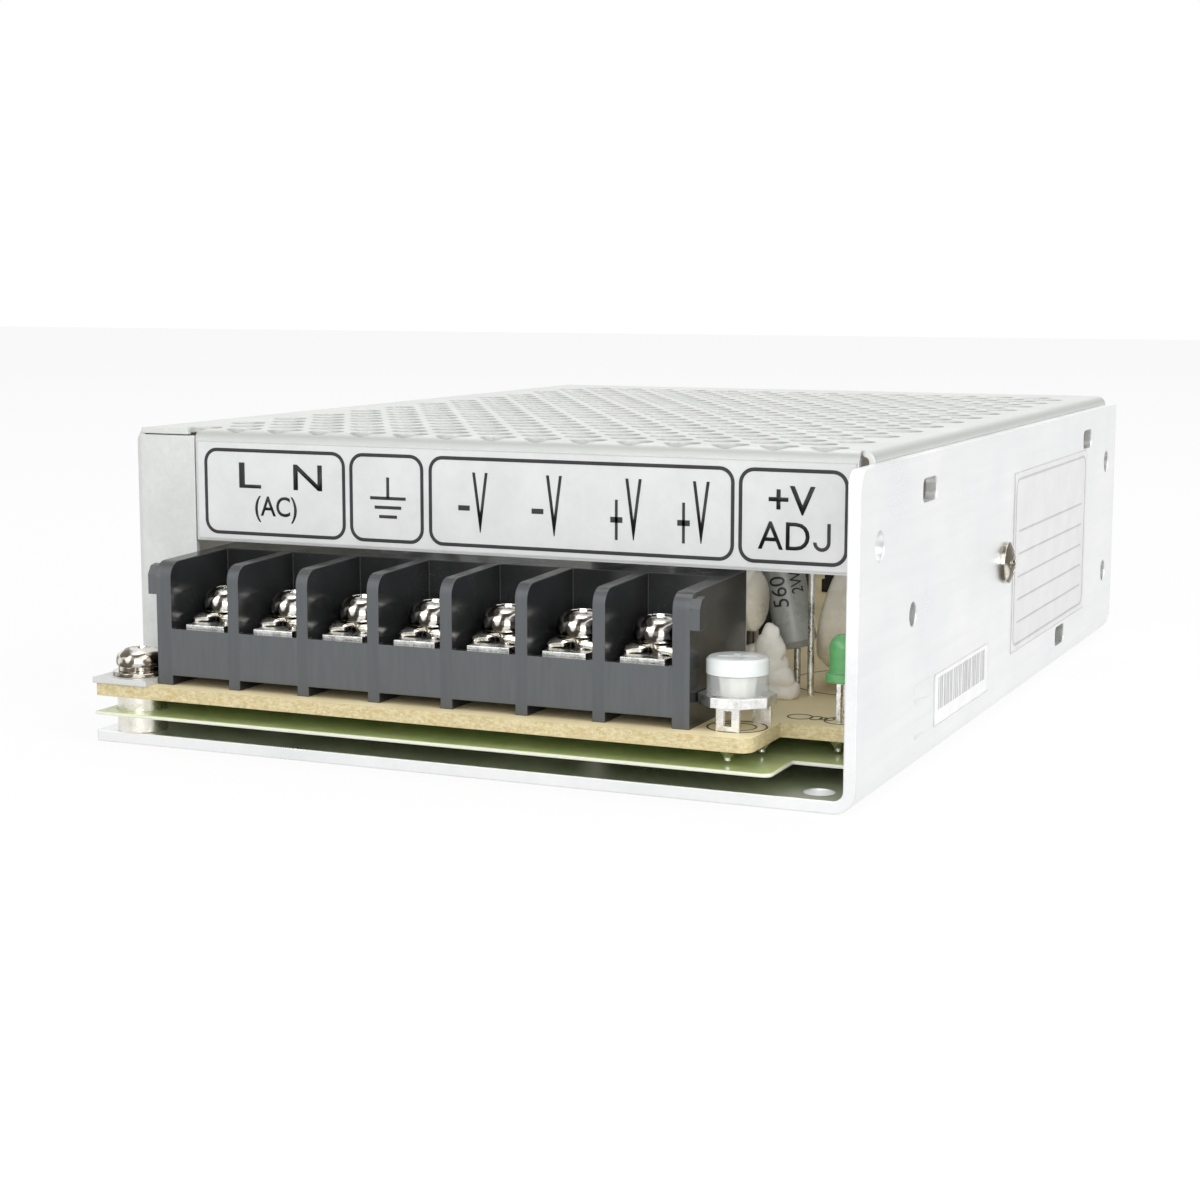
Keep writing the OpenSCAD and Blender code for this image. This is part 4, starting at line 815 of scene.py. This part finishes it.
def add_front_marking():
    """Frames and functional marks on the flange's film."""
    shape = bmesh.new()
    low, high = 25.2, 35.8
    for x0, x1 in ((-38.5, -18.6), (-18.0, -8.0), (-7.3, 31.0), (31.5, 44.2)):
        place = on_front((x0 + x1) / 2, (low + high) / 2)
        plate(shape, (x1 - x0) * MM, (high - low) * MM, place, 1.8 * MM, 0.42 * MM)
    add_piece("marking_frames", shape, ink)
    words = (
        ("L", -33.5, -30.4, 31.0, 34.1, 0.004),
        ("N", -25.8, -21.8, 31.0, 34.1, 0.004),
        ("(AC)", -31.3, -25.4, 26.9, 30.1, 0.008),
        ("+V", 35.0, 40.4, 30.7, 33.9, 0.01),
        ("AD", 33.8, 39.8, 26.8, 29.9, 0.002),
    )
    for number, (text, x0, x1, z0, z1, bold) in enumerate(words, 1):
        place = on_front((x0 + x1) / 2, (z0 + z1) / 2)
        add_words(f"marking_word_{number}", text, (x1 - x0, z1 - z0), place, ink, bold)
    for number, (sign, x0) in enumerate((("-", -3.4), ("-", 6.1), ("+", 16.0), ("+", 24.2)), 1):
        place = on_front(x0 + 2.85, 30.5)
        add_words(f"marking_pole_{number}", "V", (2.0, 7.0), place, ink, 0.006)
        bars = bmesh.new()
        if sign == "+":
            plate(bars, 1.5 * MM, 0.65 * MM, on_front(x0 + 0.75, 29.25))
            plate(bars, 0.34 * MM, 4.6 * MM, on_front(x0 + 0.75, 29.25))
        else:
            plate(bars, 1.5 * MM, 0.6 * MM, on_front(x0 + 0.75, 29.8))
        add_piece(f"marking_sign_{number}", bars, ink)
    hook = bmesh.new()
    ring = bmesh.ops.create_circle(hook, cap_ends=True, segments=32, radius=1.0 * MM)["verts"]
    disc = list({f for v in ring for f in v.link_faces})
    rim = bmesh.ops.inset_region(hook, faces=disc, thickness=0.4 * MM, use_boundary=True)["faces"]
    bmesh.ops.delete(hook, geom=disc, context="FACES_ONLY")
    bmesh.ops.bisect_plane(
        hook, geom=hook.verts[:] + hook.edges[:] + rim, plane_co=(0, 0.0, 0), plane_no=(0, 1, 0),
        clear_outer=True,
    )
    raised = bmesh.ops.extrude_face_region(hook, geom=hook.faces[:])["geom"]
    top = [g for g in raised if isinstance(g, bmesh.types.BMVert)]
    bmesh.ops.translate(hook, verts=top, vec=(0, 0, INK_RISE))
    bmesh.ops.transform(hook, matrix=on_front(41.2, 27.8), verts=hook.verts)
    plate(hook, 0.4 * MM, 2.1 * MM, on_front(42.0, 28.85))
    add_piece("marking_hook", hook, ink)
    earth = bmesh.new()
    plate(earth, 0.38 * MM, 2.5 * MM, on_front(-12.8, 31.75))
    for width, z in ((4.8, 30.5), (3.6, 29.4), (2.4, 28.3)):
        plate(earth, width * MM, 0.38 * MM, on_front(-12.8, z))
    add_piece("marking_earth", earth, ink)


def add_side_marking():
    """A plain ruled panel and a strip of plain bars on the side wall's films."""
    surface = rating_high.x
    y0, y1 = rating_low.y / MM, rating_high.y / MM
    z0, z1 = rating_low.z / MM, rating_high.z / MM
    shape = bmesh.new()
    place = on_side((y0 + y1) / 2, (z0 + z1) / 2, surface)
    plate(shape, (y1 - y0 - 1.6) * MM, (z1 - z0 - 1.6) * MM, place, 1.6 * MM, 0.3 * MM)
    for row in range(5):
        z = z1 - 8.0 - row * 3.1
        plate(shape, (y1 - y0 - 6.0) * MM, 0.25 * MM, on_side((y0 + y1) / 2, z, surface))
    add_piece("rating_rules", shape, grey_ink)
    bars = bmesh.new()
    y = serial_low.y / MM + 1.6
    count = 0
    while y < serial_high.y / MM - 1.6:
        width = (0.25, 0.55, 0.35, 0.8, 0.25, 0.45)[count % 6]
        place = on_side(y + width / 2, serial_high.z / MM - 2.5, serial_high.x)
        plate(bars, width * MM, 3.9 * MM, place)
        y += width + (0.5, 0.3, 0.7, 0.4, 0.3)[count % 5]
        count += 1
    add_piece("serial_bars", bars, grey_ink)


def flat_ring(shape, x, y, radius, line, z, squeeze=1.0):
    """A thin printed ring lying on the board, stretched along Y by squeeze."""
    made = bmesh.ops.create_circle(shape, cap_ends=True, segments=48, radius=radius)["verts"]
    faces = list({f for v in made for f in v.link_faces})
    rim = bmesh.ops.inset_region(shape, faces=faces, thickness=line, use_boundary=True)["faces"]
    bmesh.ops.delete(shape, geom=faces, context="FACES_ONLY")
    raised = bmesh.ops.extrude_face_region(shape, geom=rim)["geom"]
    top = [g for g in raised if isinstance(g, bmesh.types.BMVert)]
    bmesh.ops.translate(shape, verts=top, vec=(0, 0, INK_RISE))
    whole = list({v for f in rim for v in f.verts} | set(top))
    bmesh.ops.scale(shape, verts=whole, vec=(1.0, squeeze, 1.0))
    bmesh.ops.translate(shape, verts=whole, vec=(x, y, z))


def add_board_marking():
    """Printed rings on the board's top round the trimmer, the lamp and the choke."""
    shape = bmesh.new()
    top = board_high.z
    trimmer = (cap_low + cap_high) / 2
    lamp = (lens_low + lens_high) / 2
    flat_ring(shape, trimmer.x, trimmer.y, 3.4 * MM, 0.22 * MM, top)
    flat_ring(shape, trimmer.x, trimmer.y, 2.2 * MM, 0.18 * MM, top)
    choke = (choke_low + choke_high) / 2
    flat_ring(shape, choke.x, choke.y, 9.6 * MM, 0.2 * MM, top)
    flat_ring(shape, lamp.x - 5.2 * MM, lamp.y + 0.4 * MM, 1.5 * MM, 0.2 * MM, top)
    flat_ring(shape, lamp.x, lamp.y, 2.2 * MM, 0.2 * MM, top)
    for step, radius in ((3.3, 0.75), (2.4, 0.5), (1.7, 0.6)):
        x, y = lamp.x - step * MM, lamp.y + 0.3 * MM
        flat_ring(shape, x, y, radius * MM, 0.18 * MM, top, squeeze=1.5)
    add_piece("board_rings", shape, board_ink)


def add_lamp_core():
    """The metal cup and post cast inside the lamp's lens."""
    centre = (lens_low + lens_high) / 2
    shape = bmesh.new()
    for side, width, top in ((-1, 1.3, 3.6), (1, 0.8, 3.9)):
        made = bmesh.ops.create_cube(shape, size=1.0)["verts"]
        bmesh.ops.scale(shape, verts=made, vec=(0.5 * MM, width * MM, top * MM))
        place = (centre.x, centre.y + side * 0.75 * MM, lens_low.z + top * MM / 2 - 0.2 * MM)
        bmesh.ops.translate(shape, verts=made, vec=place)
    add_piece("lamp_core", shape, FINISHES["tin"])


def add_resistor_marks():
    """Value marks printed round the resistor's body, reading upwards."""
    lean = math.radians(12)
    radius = 2.5 * MM
    middle = (resistor_low + resistor_high) / 2
    along = Vector((-math.sin(lean), 0.0, math.cos(lean)))
    across = Vector((math.cos(lean), 0.0, math.sin(lean)))
    for name, words, box, turn, rise in (
        ("resistor_value", "560", (3.7, 2.0), 94.0, -0.5), ("resistor_rating", "2W", (2.6, 1.6), 40.0, 0.3),
    ):
        shape = letters(name, words, box)
        bmesh.ops.triangulate(shape, faces=shape.faces[:])
        bmesh.ops.subdivide_edges(shape, edges=shape.edges[:], cuts=3, use_grid_fill=True)
        for vert in shape.verts:
            angle = math.radians(turn) + vert.co.y / radius
            outward = across * math.cos(angle) + Vector((0.0, -1.0, 0.0)) * math.sin(angle)
            vert.co = middle + along * (vert.co.x + rise * MM) + outward * (radius + vert.co.z + 0.00001)
        add_piece(name, shape, ink)


def blob(shape, centre, size, seed, rough=0.16):
    """A soft lump: a sphere stretched to a size, with an uneven skin."""
    made = bmesh.ops.create_icosphere(shape, subdivisions=4, radius=1.0)["verts"]
    for vert in made:
        swell = noise.noise(vert.co * 1.3 + Vector((seed, 0.0, 0.0)))
        ripple = noise.noise(vert.co * 3.4 + Vector((0.0, seed, 0.0)))
        vert.co *= 1.0 + rough * (swell + 0.4 * ripple)
    bmesh.ops.scale(shape, verts=made, vec=[s / 2 * MM for s in size])
    bmesh.ops.translate(shape, verts=made, vec=centre)


def add_silicone():
    """Lumps of set silicone beside the terminal block, ribbed, leaning left and drawn to a peak."""
    size = (silicone_high - silicone_low) / MM
    shape = bmesh.new()
    lean = Vector((-1.6 * MM, 0.0, 0.0))
    for across, deep, rise, share, seed in (
        (0.50, 0.50, 0.10, (0.96, 0.96, 0.40), 1.0), (0.54, 0.48, 0.28, (0.84, 0.86, 0.36), 3.0),
        (0.44, 0.50, 0.46, (0.80, 0.76, 0.36), 5.0), (0.56, 0.50, 0.66, (0.62, 0.66, 0.42), 7.0),
        (0.62, 0.50, 0.84, (0.36, 0.44, 0.30), 9.0), (0.22, 0.46, 0.58, (0.36, 0.42, 0.24), 11.0),
    ):
        parts = enumerate((across, deep, rise))
        centre = [silicone_low[i] + (silicone_high[i] - silicone_low[i]) * part for i, part in parts]
        blob(shape, Vector(centre) + lean * rise, [size[i] * share[i] for i in range(3)], seed)
    for vert in shape.verts:
        vert.co.z = board_high.z + max(0.0, vert.co.z - board_high.z) * 1.3
    piece = add_piece("silicone_lumps", shape, FINISHES["silicone"])
    piece.data.polygons.foreach_set("use_smooth", [True] * len(piece.data.polygons))
    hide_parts("silicone_beads")


def add_trimmer_core():
    """The white ceramic body seen through the trimmer's clear base."""
    centre = (base_low + base_high) / 2
    shape = bmesh.new()
    bmesh.ops.create_cone(
        shape, cap_ends=True, segments=8, radius1=1.9 * MM, radius2=2.35 * MM,
        depth=base_high.z - base_low.z - 0.5 * MM,
    )
    bmesh.ops.bevel(
        shape, geom=shape.edges[:], offset=0.12 * MM, affect="EDGES", segments=2,
        profile=0.5, material=-1,
    )
    bmesh.ops.translate(shape, verts=shape.verts, vec=(centre.x, centre.y, centre.z + 0.1 * MM))
    add_piece("trimmer_core", shape, FINISHES["ceramic"])


# Nodes shown by a smooth copy, with the radius of its edges in millimetres
for node, edge in {
    "terminal_block": 0.16, "terminal_plates": 0.14, "cover_screws": 0.18, "rectifier_screw": 0.18,
    "flat_washers": 0.08, "spring_washers": 0.10, "board_standoffs": 0.12,
    "trimmer_cap": 0.12, "trimmer_base": 0.10,
    "trimmer_frame": 0.08, "lamp_lens": 0.10, "lamp_leads": 0.0, "load_resistor": 0.0, "resistor_leads": 0.0,
    "snubber_capacitor": 0.0, "output_choke": 0.0, "solder_joints": 0.0,
    "bulk_capacitors": 0.3, "output_capacitors": 0.2,
    "line_choke_core": 0.0, "line_choke_windings": 0.0, "safety_capacitors": 0.0, "inrush_thermistor": 0.0,
    "fuse_tube": 0.0, "fuse_caps": 0.1, "mains_capacitor": 0.4,
}.items():
    soften(node, edge * MM)
add_terminal_hardware()

add_front_marking()
add_side_marking()
add_board_marking()
add_resistor_marks()
add_silicone()
add_trimmer_core()
add_lamp_core()


# Camera, light and floor ----------------------------------------------------------------


def add_camera():
    """A camera in front of the terminals, to their right."""
    yaw, pitch, roll = (math.radians(angle) for angle in CAMERA_ANGLES)
    look = Vector((-math.sin(yaw) * math.cos(pitch), math.cos(yaw) * math.cos(pitch), -math.sin(pitch)))
    level = Vector((math.cos(yaw), math.sin(yaw), 0.0))
    across = Matrix.Rotation(roll, 3, -look) @ level
    up = across.cross(look)
    camera = bpy.data.objects.new("camera", bpy.data.cameras.new("camera"))
    bpy.context.collection.objects.link(camera)
    camera.data.lens = CAMERA_LENS
    camera.data.sensor_width = 36.0
    camera.data.clip_start = 0.01
    turn = Matrix((across, up, -look)).transposed()
    camera.matrix_world = Matrix.Translation(CAMERA_PLACE) @ turn.to_4x4()
    bpy.context.scene.camera = camera


def add_lamp_panel(name, place, aim, size, energy):
    """A square soft lamp at a place, turned to face a point."""
    light = bpy.data.lights.new(name, "AREA")
    light.shape = "SQUARE"
    light.size = size
    light.energy = energy
    lamp = bpy.data.objects.new(name, light)
    bpy.context.collection.objects.link(lamp)
    lamp.location = place
    lamp.rotation_euler = (Vector(aim) - Vector(place)).to_track_quat("-Z", "Y").to_euler()


def seen_directly(tree):
    """1 for rays from the camera and for mirrored or refracted ones, 0 for light that falls on the object."""
    path = tree.nodes.new("ShaderNodeLightPath").outputs
    seen = math_node(tree, "MAXIMUM", path["Is Camera Ray"], path["Is Glossy Ray"])
    return math_node(tree, "MAXIMUM", seen, path["Is Transmission Ray"])


def add_world(strength):
    """An even white surround: full white where it is seen, and strength as light."""
    world = bpy.data.worlds.new("studio")
    bpy.context.scene.world = world
    world.use_nodes = True
    tree = world.node_tree
    background = tree.nodes["Background"]
    background.inputs["Color"].default_value = (1.0, 1.0, 1.0, 1.0)
    seen = seen_directly(tree)
    tree.links.new(remap(tree, seen, strength, 1.0, 0.0, 1.0), background.inputs["Strength"])


def add_floor():
    """A plain pale floor under the case that keeps its shadow."""
    shape = bmesh.new()
    bmesh.ops.create_grid(shape, x_segments=1, y_segments=1, size=2.0)
    mesh = bpy.data.meshes.new("floor")
    shape.to_mesh(mesh)
    shape.free()
    floor = bpy.data.objects.new("floor", mesh)
    bpy.context.collection.objects.link(floor)
    floor.location.z = cad_box[0][2] - 0.0001
    material = bpy.data.materials.new("floor")
    material.use_nodes = True
    tree = material.node_tree
    shader = tree.nodes["Principled BSDF"]
    shader.inputs["Base Color"].default_value = (0.8, 0.8, 0.8, 1.0)
    shader.inputs["Roughness"].default_value = 0.9
    glow = tree.nodes.new("ShaderNodeEmission")
    mixer = tree.nodes.new("ShaderNodeMixShader")
    tree.links.new(math_node(tree, "MULTIPLY", seen_directly(tree), 0.9), mixer.inputs[0])
    tree.links.new(shader.outputs[0], mixer.inputs[1])
    tree.links.new(glow.outputs[0], mixer.inputs[2])
    tree.links.new(mixer.outputs[0], tree.nodes["Material Output"].inputs["Surface"])
    mesh.materials.append(material)


add_camera()
add_world(0.45)
add_floor()
add_lamp_panel("front lamp", (-0.35, -0.75, 0.55), (0.0, -0.03, 0.02), 0.6, 2.2)
add_lamp_panel("low lamp", (0.22, -0.80, 0.12), (0.03, -0.05, 0.015), 0.5, 2.7)
add_lamp_panel("side lamp", (0.75, -0.25, 0.45), (0.0, 0.0, 0.02), 0.6, 5.0)
add_lamp_panel("top lamp", (0.0, 0.15, 0.85), (0.0, 0.0, 0.0), 0.7, 3.0)

bpy.context.scene.view_settings.view_transform = "Standard"
